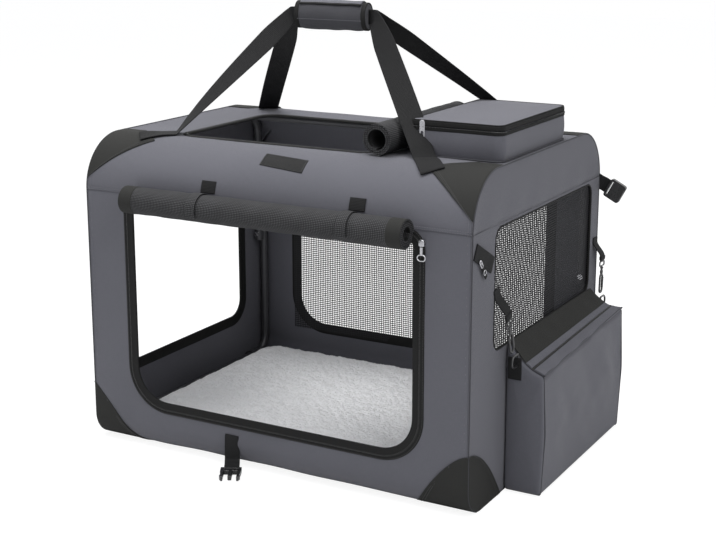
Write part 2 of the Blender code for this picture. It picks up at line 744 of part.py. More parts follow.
def fleece_mat(look):
    """A thin cushion on the floor rails, crowned in the middle and drawn in at its edge."""
    shape = bmesh.new()
    under = FOOT_Z + TUBE_RADIUS + GAP
    top = under + MAT_THICK
    levels = (
        (1.0, under), (1.0, under + MAT_THICK / 2), (MAT_DRAWN_SHARE, top),
        (MAT_RING_SHARE, top + MAT_CROWN * MAT_RING_LIFT_SHARE), (MAT_INNER_SHARE, top + MAT_CROWN),
    )
    rows = []
    for share, z in levels:
        half_x, half_y = MAT_LENGTH / 2 * share, MAT_DEPTH / 2 * share
        outline = rounded(-half_x, half_x, -half_y, half_y, (MAT_CORNER * share,) * 4)
        rows.append([shape.verts.new((x, y, z)) for x, y in outline])
    shape.faces.new(rows[0])
    shape.faces.new(rows[-1])
    for here, there in zip(rows, rows[1:]):
        for n in range(len(here)):
            m = (n + 1) % len(here)
            shape.faces.new((here[n], here[m], there[m], there[n]))
    piece("fleece_mat", shape, look, smooth_deg=PAD_SMOOTH_DEG)


def pocket(looks, roof, lid_pivot, pull_pivot):
    """The roof pocket: a soft box with a zipped lid that turns on its right edge."""
    floor = CRATE_HEIGHT + GAP
    right, back = POCKET_LEFT + POCKET_LENGTH, POCKET_FRONT + POCKET_DEPTH
    outline = rounded(POCKET_LEFT, right, POCKET_FRONT, back, (POCKET_CORNER,) * 4)
    top = floor + POCKET_WALL_HEIGHT
    body = piece("pocket_body", prism(outline, "z", floor, top), looks["oxford"], carrier=roof)
    inner = rounded(
        POCKET_LEFT + POCKET_CLOTH, right - POCKET_CLOTH,
        POCKET_FRONT + POCKET_CLOTH, back - POCKET_CLOTH, (POCKET_CORNER - POCKET_CLOTH,) * 4,
    )
    boolean(body, prism(inner, "z", floor + POCKET_CLOTH, top + OVERRUN), "DIFFERENCE")
    lid_at = lid_pivot["at"]
    moved = [(x - lid_at[0], y - lid_at[1]) for x, y in outline]
    low = top + GAP - lid_at[2]
    piece("pocket_lid", prism(moved, "z", low, low + POCKET_LID), looks["oxford"], lid_at, lid_pivot)
    pull = pull_outline(POCKET_PULL_LENGTH)
    half = PULL_THICK / 2
    shape = ring_prism(*pull, "y", -half, half)
    piece("pocket_zip_pull", shape, looks["bright"], pull_pivot["at"], pull_pivot)


def pull_outline(length):
    """A zip pull hanging from its eye, and its slot."""
    width = PULL_WIDTH / 2
    outer = rounded(-width, width, -length, width, (width,) * 4)
    half = PULL_HOLE_WIDTH / 2
    low = -length + width - half
    inner = rounded(-half, half, low, low + PULL_HOLE_LENGTH, (half,) * 4)
    return outer, inner


def handle(looks, carrier, roof):
    """The padded grip and the four webbing straps that lead to the roof's corners."""
    outline = [
        (GRIP_THICK / 2 * math.cos(a), GRIP_HEIGHT / 2 * math.sin(a))
        for a in (2 * math.pi * (n + 0.5) / TUBE_SIDES for n in range(TUBE_SIDES))
    ]
    shape = prism(outline, "x", -GRIP_LENGTH / 2, GRIP_LENGTH / 2)
    piece("handle_grip", shape, looks["oxford"], carrier["at"], carrier, smooth_deg=PAD_SMOOTH_DEG)
    for end, end_name in ((-1, "left"), (1, "right")):
        for side, side_name in ((-1, "front"), (1, "back")):
            name = f"handle_strap_{side_name}_{end_name}"
            piece(name, handle_strap(end, side), looks["webbing"], carrier=roof)


def handle_strap(end, side):
    """Webbing sewn aslant over the roof's bend. It lifts off and turns on edge up to the grip."""
    half_facet = math.radians((90 - roof_patch_start()) / ARC_STEPS / 2)
    patch_out = (ROOF_RADIUS + PATCH_EDGE) / math.cos(half_facet) + PATCH_THICK
    out = patch_out + GAP + STRAP_THICK / 2
    slant = math.tan(math.radians(STRAP_SLANT_DEG))
    path, widths, leans = [], [], []
    for n in range(SMALL_STEPS + 1):
        left = math.radians(STRAP_LEAVE_DEG - STRAP_SEWN_DEG) * (1 - n / SMALL_STEPS)
        angle = math.radians(STRAP_LEAVE_DEG) - left
        y, z = ROOF_ARC_Y + out * math.cos(angle), SEAM_HEIGHT + out * math.sin(angle)
        path.append(Vector((end * (HANDLE_X + out * left * slant), side * y, z)))
        widths.append(STRAP_WIDTH)
        leans.append(math.pi / 2 - angle)
    start, first_lean = path[-1], leans[-1]
    pair_y = GRIP_CENTRE_Y + side * (STRAP_PAIR_GAP + STRAP_THICK) / 2
    stop = Vector((end * (GRIP_LENGTH / 2 + GAP), pair_y, GRIP_CENTRE_Z))
    join = stop + Vector((end * STRAP_LEAD, 0, 0))
    lift = Vector((0, 0, STRAP_LIFT))
    for n in range(1, STRAP_STEPS + 1):
        share = n / STRAP_STEPS
        path.append(start.lerp(join, share) + lift * share * (1 - share) ** 2)
        widths.append(STRAP_WIDTH + (STRAP_TOP_WIDTH - STRAP_WIDTH) * share ** 2)
        leans.append(first_lean + (math.pi / 2 - first_lean) * share)
    path.append(stop)
    widths.append(STRAP_TOP_WIDTH)
    leans.append(math.pi / 2)
    sides = []
    for n, lean in enumerate(leans):
        run = path[min(n + 1, len(path) - 1)] - path[max(n - 1, 0)]
        facing = Vector((0, side * math.sin(lean), math.cos(lean)))
        sides.append(facing.cross(run))
    return ribbon(path, widths, sides, STRAP_THICK)


def bag_slope():
    """The bag top's outer edge, the direction up its slope, its length and its normal."""
    edge = Vector((BAG_X + BAG_THICK, BAG_OUTER_HEIGHT))
    rise = Vector((-BAG_THICK, BAG_INNER_HEIGHT - BAG_OUTER_HEIGHT))
    up = rise.normalized()
    return edge, up, rise.length, Vector((up.y, -up.x))


def storage_bag(looks, carrier):
    """The detachable bag: a soft box whose top slopes down from the crate."""
    near, far = BAG_X, BAG_X + BAG_THICK
    outline = [
        (near, BAG_FLOOR), (far, BAG_FLOOR), (far + BAG_BULGE, (BAG_FLOOR + BAG_OUTER_HEIGHT) / 2),
        (far, BAG_OUTER_HEIGHT), (near, BAG_INNER_HEIGHT),
    ]
    rear = BAG_FRONT + BAG_LENGTH
    body = piece("bag_body", prism(outline, "y", BAG_FRONT, rear), looks["oxford"], carrier=carrier)
    edge, up, length, normal = bag_slope()
    start = edge + up * length * BAG_RIM_SHARE
    stop = edge + up * length * BAG_MOUTH_SHARE
    inner = [
        (near + BAG_CLOTH, BAG_FLOOR + BAG_CLOTH), (far - BAG_CLOTH, BAG_FLOOR + BAG_CLOTH),
        tuple(start - normal * BAG_CLOTH), tuple(start + normal * OVERRUN),
        tuple(stop + normal * OVERRUN), tuple(stop - normal * BAG_CLOTH),
        (near + BAG_CLOTH, BAG_INNER_HEIGHT - 2 * BAG_CLOTH),
    ]
    boolean(body, prism(inner, "y", BAG_FRONT + BAG_CLOTH, rear - BAG_CLOTH), "DIFFERENCE")
    for side, side_name, start_y in ((-1, "front", BAG_FRONT), (1, "rear", rear)):
        d_ring(f"{side_name}_d_ring", side, start_y, looks["plastic"], carrier)


def bag_flap(look, carrier):
    """The zipped lid of the bag, which turns on its outer edge."""
    edge, up, length, normal = bag_slope()
    axis = Vector((carrier["at"][0], carrier["at"][2]))
    reach = up * length * BAG_FLAP_SHARE
    thick = normal * BAG_FLAP / 2
    start = edge + normal * (GAP + BAG_FLAP / 2) - axis
    plate = [start - thick, start + reach - thick, start + reach + thick, start + thick]
    rear = BAG_FRONT + BAG_LENGTH
    shape = prism([tuple(p) for p in plate], "y", BAG_FRONT, rear)
    piece("bag_flap", shape, look, carrier["at"], carrier)


def d_ring(name, side, start_y, look, carrier):
    """A flat D ring against the end of the bag, just outside the hook that passes it."""
    near, far = sorted((start_y + side * GAP, start_y + side * (GAP + D_RING_WIDTH)))
    half, wire = D_RING_DEPTH / 2, D_RING_WIRE
    tight, wide = wire / 2, half - wire / 4
    corners = (wide, tight, tight, wide) if side < 0 else (tight, wide, wide, tight)
    outer = rounded(near, far, -half, half, corners)
    slim = tuple(max(c - wire, wire / 4) for c in corners)
    inner = rounded(near + wire, far - wire, -half + wire, half - wire, slim)
    shape = ring_prism(outer, inner, "x", -wire / 2, wire / 2)
    piece(name, shape, look, (D_RING_X, 0, D_RING_HEIGHT), carrier)


def chain_point(start, tilt_deg, run, x):
    """A place along a strap chain that hangs from `start` at a tilt."""
    tilt = math.radians(tilt_deg)
    return Vector((x, start[0] + run * math.sin(tilt), start[1] - run * math.cos(tilt)))


def side_straps(looks, bag):
    """The webbing, rings and snap hooks that hold the bag, and the tab that they hang from."""
    tab_x = END_X + GAP
    half = TAB_WIDTH / 2
    outline = rounded(-TAB_LENGTH / 2, TAB_LENGTH / 2, -half, half, (half / 4,) * 4)
    turn = (math.radians(TAB_TILT_DEG), 0, 0)
    tab = prism(outline, "x", 0, CLIP_STRAP_THICK)
    piece("front_strap_tab", tab, looks["webbing"], (tab_x, TAB_Y, TAB_Z), turn=turn)

    clip_x = tab_x + CLIP_STRAP_THICK + GAP + TOP_CLIP_THICK / 2
    turn = (math.radians(TOP_CLIP_TILT_DEG), 0, 0)
    at = (clip_x, TOP_CLIP_Y, TOP_CLIP_Z)
    half, wire = TOP_CLIP_WIDTH / 2, RING_WIRE
    outer = rounded(-half, half, -TOP_CLIP_LENGTH, 0, (half,) * 4)
    low = -TOP_CLIP_LENGTH + wire
    inner = rounded(-half + wire, half - wire, low, -wire, (half - wire,) * 4)
    clip = ring_prism(outer, inner, "x", -TOP_CLIP_THICK / 2, TOP_CLIP_THICK / 2)
    piece("front_top_clip", clip, looks["bright"], at, bag, turn)
    front, rear = (FRONT_CHAIN_Y, FRONT_CHAIN_Z), (REAR_CHAIN_Y, REAR_CHAIN_Z)
    hang(looks, "front", front, FRONT_CHAIN_TILT_DEG, FRONT_STRAP_LENGTH, bag)
    hang(looks, "rear", rear, REAR_CHAIN_TILT_DEG, REAR_STRAP_LENGTH, bag)


def hang(looks, name, start, tilt_deg, length, bag):
    """One webbing strap, sewn to the wall, with its ring and its swivelling snap hook."""
    near_x, far_x = END_X + GAP + CLIP_STRAP_THICK / 2, END_X + HOOK_X
    across = Vector((0, math.cos(math.radians(tilt_deg)), math.sin(math.radians(tilt_deg))))
    path = [
        chain_point(start, tilt_deg, 0, near_x),
        chain_point(start, tilt_deg, length * STRAP_FLAT_SHARE, near_x),
        chain_point(start, tilt_deg, length * (1 - STRAP_FLAT_SHARE), far_x),
        chain_point(start, tilt_deg, length, far_x),
    ]
    shape = ribbon(path, [CLIP_STRAP_WIDTH] * len(path), [across] * len(path), CLIP_STRAP_THICK)
    piece(f"{name}_clip_strap", shape, looks["webbing"], carrier=bag)
    turn = (math.radians(tilt_deg), 0, 0)
    run = length + GAP
    at = chain_point(start, tilt_deg, run, far_x)
    half, wire = RING_WIDTH / 2, RING_WIRE
    outer = rounded(-half, half, -RING_HEIGHT, 0, (wire,) * 4)
    inner = rounded(-half + wire, half - wire, -RING_HEIGHT + wire, -wire, (wire / 2,) * 4)
    ring = ring_prism(outer, inner, "x", -wire / 2, wire / 2)
    piece(f"{name}_strap_ring", ring, looks["plastic"], at, bag, turn)
    at = chain_point(start, tilt_deg, run + RING_HEIGHT + GAP, far_x)
    snap_hook(f"{name}_snap_hook", looks["plastic"], pivot(f"{name}_hook_pivot", at, bag), turn)


def snap_hook(name, look, carrier, turn):
    """A snap hook hanging from its swivel neck."""
    half, wire, thick = HOOK_WIDTH / 2, HOOK_WIRE, HOOK_THICK / 2
    low = -HOOK_NECK - HOOK_LOOP
    outer = rounded(-half, half, low, -HOOK_NECK, (half,) * 4)
    slim = (half - wire,) * 4
    inner = rounded(-half + wire, half - wire, low + wire, -HOOK_NECK - wire, slim)
    shape = ring_prism(outer, inner, "x", -thick, thick)
    hook = piece(name, shape, look, carrier["at"], carrier, turn)
    neck = HOOK_NECK_WIDTH / 2
    low = -HOOK_NECK - wire / 2
    outline = [(-neck, low), (neck, low), (neck, 0), (-neck, 0)]
    boolean(hook, prism(outline, "x", -thick, thick), "UNION")


def closing_straps(looks, roof):
    """The strap that holds the folded crate shut: its buckle halves at the front and the back."""
    face = -SIDE_Y - GAP - CLOSING_THICK / 2
    rest_z = BUCKLE_LIFT + BUCKLE_THICK / 2
    turn = math.radians(CLOSING_TURN_DEG)
    ahead = Vector((math.sin(turn), -math.cos(turn), 0))
    floor = Vector((CLOSING_X, face, rest_z))
    path = [
        Vector((CLOSING_X, face, CLOSING_RISE)), Vector((CLOSING_X, face, rest_z + CLOSING_BEND)),
        floor + ahead * CLOSING_BEND / 2 + Vector((0, 0, CLOSING_BEND / 4)), floor + ahead * CLOSING_BEND,
        floor + ahead * CLOSING_RUN,
    ]
    flat, turned = Vector((1, 0, 0)), Vector((math.cos(turn), math.sin(turn), 0))
    sides = [flat, flat, turned, turned, turned]
    shape = ribbon(path, [CLOSING_WIDTH] * len(path), sides, CLOSING_THICK)
    piece("front_closing_strap", shape, looks["webbing"])
    male_at = floor + ahead * (CLOSING_RUN + GAP)
    male_buckle(looks["plastic"], pivot("male_buckle_pivot", male_at), (0, 0, turn))

    tilt = math.radians(BACK_STRAP_TILT_DEG)
    down = Vector((math.sin(tilt), 0, -math.cos(tilt)))
    start = Vector((BACK_STRAP_X, -face, BACK_STRAP_Z))
    across = Vector((math.cos(tilt), 0, math.sin(tilt)))
    out = Vector((0, (BUCKLE_THICK - CLOSING_THICK) / 2, 0))
    path = [
        start, start + down * BACK_STRAP_LENGTH / 2,
        start + down * BACK_STRAP_LENGTH * 3 / 4 + out, start + down * BACK_STRAP_LENGTH + out,
    ]
    shape = ribbon(path, [CLOSING_WIDTH] * len(path), [across] * len(path), CLOSING_THICK)
    piece("back_closing_strap", shape, looks["webbing"], carrier=roof)
    at = path[-1] + down * GAP
    female_buckle(looks["plastic"], pivot("female_buckle_pivot", at, roof), tilt)


def male_buckle(look, carrier, turn):
    """A base with a slot for the webbing, a middle prong and two sprung prongs."""
    half, prong = BUCKLE_WIDTH / 2, PRONG_WIDTH / 2
    tip = -BUCKLE_BASE - PRONG_LENGTH
    lobe = tip + PRONG_WIDTH
    right = [
        (half, 0), (half, -BUCKLE_BASE), (half - prong / 2, lobe + prong), (half, lobe),
        (half - prong, tip), (half - 2 * prong, tip), (half - 2 * prong, -BUCKLE_BASE),
        (prong, -BUCKLE_BASE), (prong, tip + prong),
    ]
    outline = right + [(-x, y) for x, y in reversed(right)]
    thick = BUCKLE_THICK / 2
    shape = prism(outline, "z", -thick, thick)
    buckle = piece("male_buckle", shape, look, carrier["at"], carrier, turn)
    slot_x, slot_y = half - BUCKLE_SLOT, -BUCKLE_SLOT
    slot = box((-slot_x, slot_y - BUCKLE_SLOT, -BUCKLE_THICK), (slot_x, slot_y, BUCKLE_THICK))
    boolean(buckle, slot, "DIFFERENCE")


def female_buckle(look, carrier, tilt):
    """The open half of the buckle, hanging mouth down from the back of the roof."""
    half, thick = BUCKLE_WIDTH / 2, BUCKLE_THICK / 2
    outline = rounded(-half, half, -FEMALE_LENGTH, 0, (BUCKLE_SLOT,) * 4)
    shape = prism(outline, "y", -thick, thick)
    buckle = piece("female_buckle", shape, look, carrier["at"], carrier, (0, -tilt, 0))
    mouth_x = half - PRONG_WIDTH / 2
    mouth_y = FEMALE_MOUTH / 2
    top = -BUCKLE_BASE + BUCKLE_SLOT
    mouth = box((-mouth_x, -mouth_y, -FEMALE_LENGTH - OVERRUN), (mouth_x, mouth_y, top))
    boolean(buckle, mouth, "DIFFERENCE")
    slot_x = half - BUCKLE_SLOT
    low = -BUCKLE_SLOT * 3 / 2
    slot = box((-slot_x, -BUCKLE_THICK, low), (slot_x, BUCKLE_THICK, -BUCKLE_SLOT))
    boolean(buckle, slot, "DIFFERENCE")


def front_zip(looks, roof):
    """The front door's zip slider, parked beside the rolled door, and its pull."""
    z = SEAM_HEIGHT - FRONT_SLIDER_DROP
    face = -SIDE_Y - GAP
    half, tall = SLIDER_WIDTH / 2, SLIDER_HEIGHT / 2
    outline = rounded(-half, half, -tall, tall, (half / 2,) * 4)
    at = (FRONT_SLIDER_X, face, z)
    piece("front_zip_slider", prism(outline, "y", -SLIDER_THICK, 0), looks["bright"], at, roof)
    pull_at = (FRONT_SLIDER_X, face - SLIDER_THICK - GAP - PULL_THICK / 2, z)
    carrier = pivot("front_pull_pivot", pull_at, roof)
    shape = ring_prism(*pull_outline(PULL_LENGTH), "y", -PULL_THICK / 2, PULL_THICK / 2)
    piece("front_zip_pull", shape, looks["bright"], pull_at, carrier)


def main():
    clear_scene()
    looks = make_materials()
    frame_look, cloth = looks["steel"], looks["oxford"]
    roof = pivot("roof_pivot", (-PIVOT_X, 0, HEAD_Z))
    for end, end_name in ((-1, "left"), (1, "right")):
        x = end * PIVOT_X
        foot = pivot(f"{end_name}_foot_pivot", (x, 0, FOOT_Z))
        knee = pivot(f"{end_name}_knee_pivot", (x, 0, KNEE_Z), foot)
        lower_u(f"{end_name}_lower_u", x, foot, frame_look)
        upper_u(f"{end_name}_upper_u", x, knee, frame_look)
        for side, side_name in ((-1, "front"), (1, "back")):
            knee_pin(f"knee_pin_{side_name}_{end_name}", x, side, foot, looks["bright"])
    for side, side_name in ((-1, "front"), (1, "back")):
        rail(f"floor_rail_{side_name}", side * FLOOR_RAIL_Y, None, FOOT_Z, frame_look)
        rail(f"roof_rail_{side_name}", side * ROOF_RAIL_Y, roof, HEAD_Z, frame_look)
        side_wall(f"{side_name}_wall", side, cloth)
        for end, end_name in ((-1, "left"), (1, "right")):
            roof_patch(f"roof_patch_{side_name}_{end_name}", end, side, looks["black"], roof)
            base_patch(f"base_patch_{side_name}_{end_name}", end, side, looks["black"])
    floor_panel(cloth)
    end_wall("left_wall", -1, 0, SIDE_WIDTH, SIDE_CORNER, cloth)
    end_wall("right_wall", 1, WINDOW_CENTRE_Y, WINDOW_WIDTH, WINDOW_CORNER, cloth)
    roof_cover(cloth, roof)
    fleece_mat(looks["fleece"])
    overlap = NET_BORDER / 2
    net(
        "right_net", WINDOW_CENTRE_Y, WINDOW_WIDTH + 2 * overlap, SIDE_SILL - overlap, SIDE_TOP + overlap,
        SIDE_NET_COLUMNS, SIDE_NET_ROWS, "x", INNER_X - NET_THICK, looks["mesh"],
    )
    net(
        "back_net", 0, DOOR_WIDTH + 2 * overlap, DOOR_SILL - overlap, DOOR_TOP + overlap,
        BACK_NET_COLUMNS, BACK_NET_ROWS, "y", SIDE_Y - CLOTH - GAP - NET_THICK, looks["mesh"],
    )
    doors(looks, roof)
    handle(looks, pivot("handle_pivot", (0, GRIP_CENTRE_Y, GRIP_CENTRE_Z), roof), roof)
    pocket_top = CRATE_HEIGHT + GAP + POCKET_WALL_HEIGHT + GAP
    lid_x = POCKET_LEFT + POCKET_LENGTH + LID_AXIS_OUT
    lid = pivot("pocket_lid_pivot", (lid_x, 0, pocket_top + POCKET_LID / 2), roof)
    pull_y = POCKET_FRONT - PULL_OFFSET - PULL_THICK / 2
    pull_at = (POCKET_LEFT + POCKET_CORNER + PULL_WIDTH, pull_y, pocket_top + POCKET_LID / 2)
    pocket(looks, roof, lid, pivot("pocket_pull_pivot", pull_at, lid))
    bag = pivot("bag_pivot", (END_X, 0, BAG_OUTER_HEIGHT))
    storage_bag(looks, bag)
    edge, _, _, normal = bag_slope()
    axis = edge + normal * (GAP + BAG_FLAP / 2)
    bag_flap(cloth, pivot("bag_flap_pivot", (axis.x, 0, axis.y), bag))
    side_straps(looks, bag)
    closing_straps(looks, roof)
    front_zip(looks, roof)


main()
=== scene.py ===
# %% [markdown]
# # A soft folding dog crate
# The crate is a grey cloth cover on a hidden tube frame. Its doors are rolled
# up, a pocket and a padded grip stand on the roof, and a bag hangs at the right
# end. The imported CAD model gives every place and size. This script puts cloth,
# webbing, mesh and metal on it. Soft pieces are worked out as surfaces with
# numpy, since a formula says more about cloth than a block does.

import math

import bmesh
import bpy
import numpy as np
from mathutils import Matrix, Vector


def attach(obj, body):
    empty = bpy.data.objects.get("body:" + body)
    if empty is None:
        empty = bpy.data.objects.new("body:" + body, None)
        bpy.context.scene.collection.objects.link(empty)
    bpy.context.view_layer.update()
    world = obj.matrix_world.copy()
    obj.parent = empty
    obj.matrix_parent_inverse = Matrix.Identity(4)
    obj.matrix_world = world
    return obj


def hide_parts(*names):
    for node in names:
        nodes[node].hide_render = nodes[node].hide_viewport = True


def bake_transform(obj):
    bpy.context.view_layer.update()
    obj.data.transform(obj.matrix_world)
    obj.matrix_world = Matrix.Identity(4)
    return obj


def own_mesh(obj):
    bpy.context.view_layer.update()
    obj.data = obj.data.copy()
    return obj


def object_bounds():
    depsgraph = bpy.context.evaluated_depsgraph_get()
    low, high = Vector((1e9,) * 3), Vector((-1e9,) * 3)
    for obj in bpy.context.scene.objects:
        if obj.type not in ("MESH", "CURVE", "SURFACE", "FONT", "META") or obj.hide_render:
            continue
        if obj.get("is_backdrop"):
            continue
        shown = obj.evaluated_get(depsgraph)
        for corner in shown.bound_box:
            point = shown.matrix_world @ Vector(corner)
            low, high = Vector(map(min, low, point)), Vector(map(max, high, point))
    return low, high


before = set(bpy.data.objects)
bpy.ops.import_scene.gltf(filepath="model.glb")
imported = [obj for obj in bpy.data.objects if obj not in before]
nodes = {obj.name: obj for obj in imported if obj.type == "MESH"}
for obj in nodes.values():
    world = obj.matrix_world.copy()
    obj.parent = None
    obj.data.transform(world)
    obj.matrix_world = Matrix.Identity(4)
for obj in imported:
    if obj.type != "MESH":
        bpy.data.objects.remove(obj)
cad_low, cad_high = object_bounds()
print("CAD box", [round(v, 4) for v in (*cad_low, *cad_high)])

# %% [markdown]
# ## Sizes
# The cover's sizes are repeated here from the CAD source, in metres. The walls
# end at a seam, and above it the roof bends over the frame.

# %% Sizes
TAU = 2 * math.pi
END_X, SIDE_Y, TOP = 0.350, 0.260, 0.520
ROOF_R, BASE_R = 0.086, 0.045
CLOTH = 0.0025
GAP = 0.0003
SEAM_Z = TOP - ROOF_R
ARC_Y = SIDE_Y - ROOF_R
INNER_X = END_X - CLOTH - GAP
BASE_TURN = BASE_R * math.pi / 2
ROOF_TURN = ROOF_R * math.pi / 2
ROOF_RUN = 2 * (ROOF_TURN + ARC_Y)
FOLD_DROP = 0.38467
ROOF_KEEP = 0.35
WALL_KEEP = (TOP - ROOF_R * ROOF_KEEP - FOLD_DROP) / SEAM_Z
FOLDS = {"wall": ((0, 0, 0), WALL_KEEP), "roof": ((0, 0, TOP), ROOF_KEEP)}
DOOR_HALF, DOOR_LOW, DOOR_HIGH = 0.265, 0.078, 0.426
DOOR_RADII = (0.065, 0.065, 0.020, 0.020)
ENDS, SIDES = ((-1, "left"), (1, "right")), ((-1, "front"), (1, "back"))
MIDDLE = (0, 0, 0.25)
WALL_THICK, SKIN_THICK = 0.0023, 0.0010
print("cloth over the roof", round(ROOF_RUN, 4), "m; kept in the fold", round(WALL_KEEP, 3))

# %% [markdown]
# ## Camera
# The lens and place come from lines of the photograph. A small shift keeps the
# upright edges nearly parallel, and other views still hold the whole crate.


# %% Camera
def link(name, data):
    """A new object at the origin, put in the scene."""
    thing = bpy.data.objects.new(name, data)
    bpy.context.scene.collection.objects.link(thing)
    return thing


camera_data = bpy.data.cameras.new("camera")
camera = link("camera", camera_data)
camera_data.sensor_width = 36
camera_data.lens = 71.47
camera_data.shift_y = -0.05
camera.location = (1.16735, -2.05059, 0.89724)
camera.rotation_euler = (math.pi / 2 - 0.23005, 0, 0.51098)
bpy.context.scene.camera = camera
print("camera at", tuple(round(v, 3) for v in camera.location))

# %% [markdown]
# ## Shader maths
# A small class wraps a socket and overloads the arithmetic, so that a pattern
# reads as a formula. One method adds every other kind of node.


# %% Shader maths
class Socket:
    """One output of a node, on which arithmetic adds Math nodes."""

    def __init__(self, graph, socket):
        """Keeps the graph, so that arithmetic knows where its nodes belong."""
        self.graph, self.socket = graph, socket

    def maths(self, operation, *parts):
        """A Math node on Sockets or plain numbers."""
        return self.graph.node("ShaderNodeMath", {"operation": operation}, dict(enumerate(parts)))

    __add__ = __radd__ = lambda self, other: self.maths("ADD", self, other)
    __mul__ = __rmul__ = lambda self, other: self.maths("MULTIPLY", self, other)
    __sub__ = lambda self, other: self.maths("SUBTRACT", self, other)
    __rsub__ = lambda self, other: self.maths("SUBTRACT", other, self)
    __pow__ = lambda self, other: self.maths("POWER", self, other)
    over = lambda self, other: self.maths("GREATER_THAN", self, other)
    most = lambda self, other: self.maths("MAXIMUM", self, other)
    sine = lambda self: self.maths("SINE", self)


class Graph:
    """A node tree whose inputs take a Socket or a plain value."""

    def __init__(self, tree):
        """Wraps the tree of a material or of the world."""
        self.tree = tree

    def join(self, value, place):
        """Links a Socket to an input, or sets the input's own value."""
        if isinstance(value, Socket):
            self.tree.links.new(value.socket, place)
        else:
            place.default_value = value

    def node(self, kind, settings=None, sockets=None, output=0):
        """Adds a node with its settings and inputs, and gives one of its outputs."""
        made = self.tree.nodes.new(kind)
        for key, value in (settings or {}).items():
            setattr(made, key, value)
        for key, value in (sockets or {}).items():
            self.join(value, made.inputs[key])
        return Socket(self, made.outputs[output])

    def mix(self, factor, first, second):
        """Two colours mixed by a factor."""
        sockets = {0: factor, 6: (*first, 1.0), 7: (*second, 1.0)}
        return self.node("ShaderNodeMix", {"data_type": "RGBA"}, sockets, output=2)

    def rays(self):
        """Whether a ray comes from the camera, from a gloss or through a surface."""
        names = ("Is Camera Ray", "Is Glossy Ray", "Is Transmission Ray")
        return [self.node("ShaderNodeLightPath", output=name) for name in names]


class Look(Graph):
    """A material with its slot, whose pattern is added by methods."""

    def __init__(self, name, slot, colour, roughness, metallic=0.0, sheen=0.0, coat=0.0, gloss=0.5):
        """Plain values for a Principled BSDF."""
        self.slot = slot
        self.material = bpy.data.materials.new(name)
        self.material.use_nodes = True
        super().__init__(self.material.node_tree)
        self.shader = self.tree.nodes["Principled BSDF"]
        self.put("Base Color", (*colour, 1.0))
        self.put("Roughness", roughness)
        self.put("Metallic", metallic)
        self.put("Sheen Weight", sheen)
        self.put("Coat Weight", coat)
        self.put("Specular IOR Level", gloss)

    def put(self, name, value):
        """Fills one input of the Principled BSDF."""
        self.join(value, self.shader.inputs[name])

    def place(self, kind="UV"):
        """UV or Object coordinates."""
        return self.node("ShaderNodeTexCoord", output=kind)

    def parts(self, vector):
        """The three numbers of a vector."""
        return [self.node("ShaderNodeSeparateXYZ", sockets={0: vector}, output=n) for n in range(3)]

    def noise(self, vector, scale, detail=2.0, stretch=(1, 1, 1)):
        """Noise on coordinates that may be stretched first."""
        mapped = self.node("ShaderNodeMapping", sockets={"Vector": vector, "Scale": stretch})
        return self.node("ShaderNodeTexNoise", sockets={"Vector": mapped, "Scale": scale, "Detail": detail})

    def bump(self, height, distance, strength=1.0):
        """Dents the surface by a height, up to a distance in metres."""
        sockets = {"Height": height, "Distance": distance, "Strength": strength}
        self.put("Normal", self.node("ShaderNodeBump", sockets=sockets))


def shade(colour, share):
    """A colour times a share."""
    return tuple(min(c * share, 1.0) for c in colour)


# %% [markdown]
# ## Cloth, webbing and fleece looks
# Woven polyester is a plain weave with uneven threads. The weave is two sine
# waves multiplied, and long thin noise along both threads gives the streaks.
# UV maps are in metres, so a thread has its real width on every piece.


# %% Cloth looks
def woven(name, slot, colour, pitch=0.0012, uneven=0.13, sheen=0.10, rough=0.86, gloss=0.4):
    """Plain weave: the product of two sine waves, one along each thread, with streaks."""
    look = Look(name, slot, colour, rough, sheen=sheen, gloss=gloss)
    uv = look.place()
    across, along, _ = look.parts(uv)
    weave = (across * (TAU / pitch)).sine() * (along * (TAU / pitch)).sine()
    warp = look.noise(uv, 90.0, 2.0, (1.0, 14.0, 1.0))
    weft = look.noise(uv, 90.0, 2.0, (14.0, 1.0, 1.0))
    cloudy = look.noise(uv, 9.0, 3.0)
    tone = warp * 0.4 + weft * 0.35 + cloudy * 0.25 + weave * 0.05
    look.put("Base Color", look.mix(tone, shade(colour, 1 - 2 * uneven), shade(colour, 1 + 2 * uneven)))
    look.bump(weave * 0.5 + warp * 0.5 + weft * 0.5, 0.0004, 0.55)
    return look


def ribbed(name, slot, colour, pitch=0.0022, sheen=0.1):
    """Webbing: ribs across its run and two raised selvedge lines. U runs along it."""
    look = Look(name, slot, colour, 0.72, sheen=sheen, gloss=0.15)
    uv = look.place()
    along, across, _ = look.parts(uv)
    ribs = (along * (TAU / pitch)).sine() * 0.5 + 0.5
    twill = ((along + across) * (TAU / (pitch * 1.7))).sine() * 0.5 + 0.5
    wear_and_glint = look.noise(uv, 60.0, 3.0)
    tone = ribs * 0.45 + twill * 0.25 + wear_and_glint * 0.3
    look.put("Base Color", look.mix(tone, shade(colour, 0.55), shade(colour, 1.6)))
    look.put("Roughness", wear_and_glint * 0.2 + 0.62)
    look.bump(ribs * 0.7 + twill * 0.3, 0.0006, 0.8)
    return look


def netted(name, colour, pitch, open_share):
    """Knitted mesh: a hole wherever two crossed waves are both high. Alpha cuts the holes."""
    look = Look(name, "mesh", colour, 0.7, gloss=0.2)
    across, along, _ = look.parts(look.place())
    first = ((across + along) * (TAU / pitch)).sine()
    second = ((across - along) * (TAU / pitch)).sine()
    threads = 1 - (first * second).over(1 - open_share * 2)
    look.put("Alpha", threads)
    look.bump(first * second, 0.0004, 0.5)
    return look


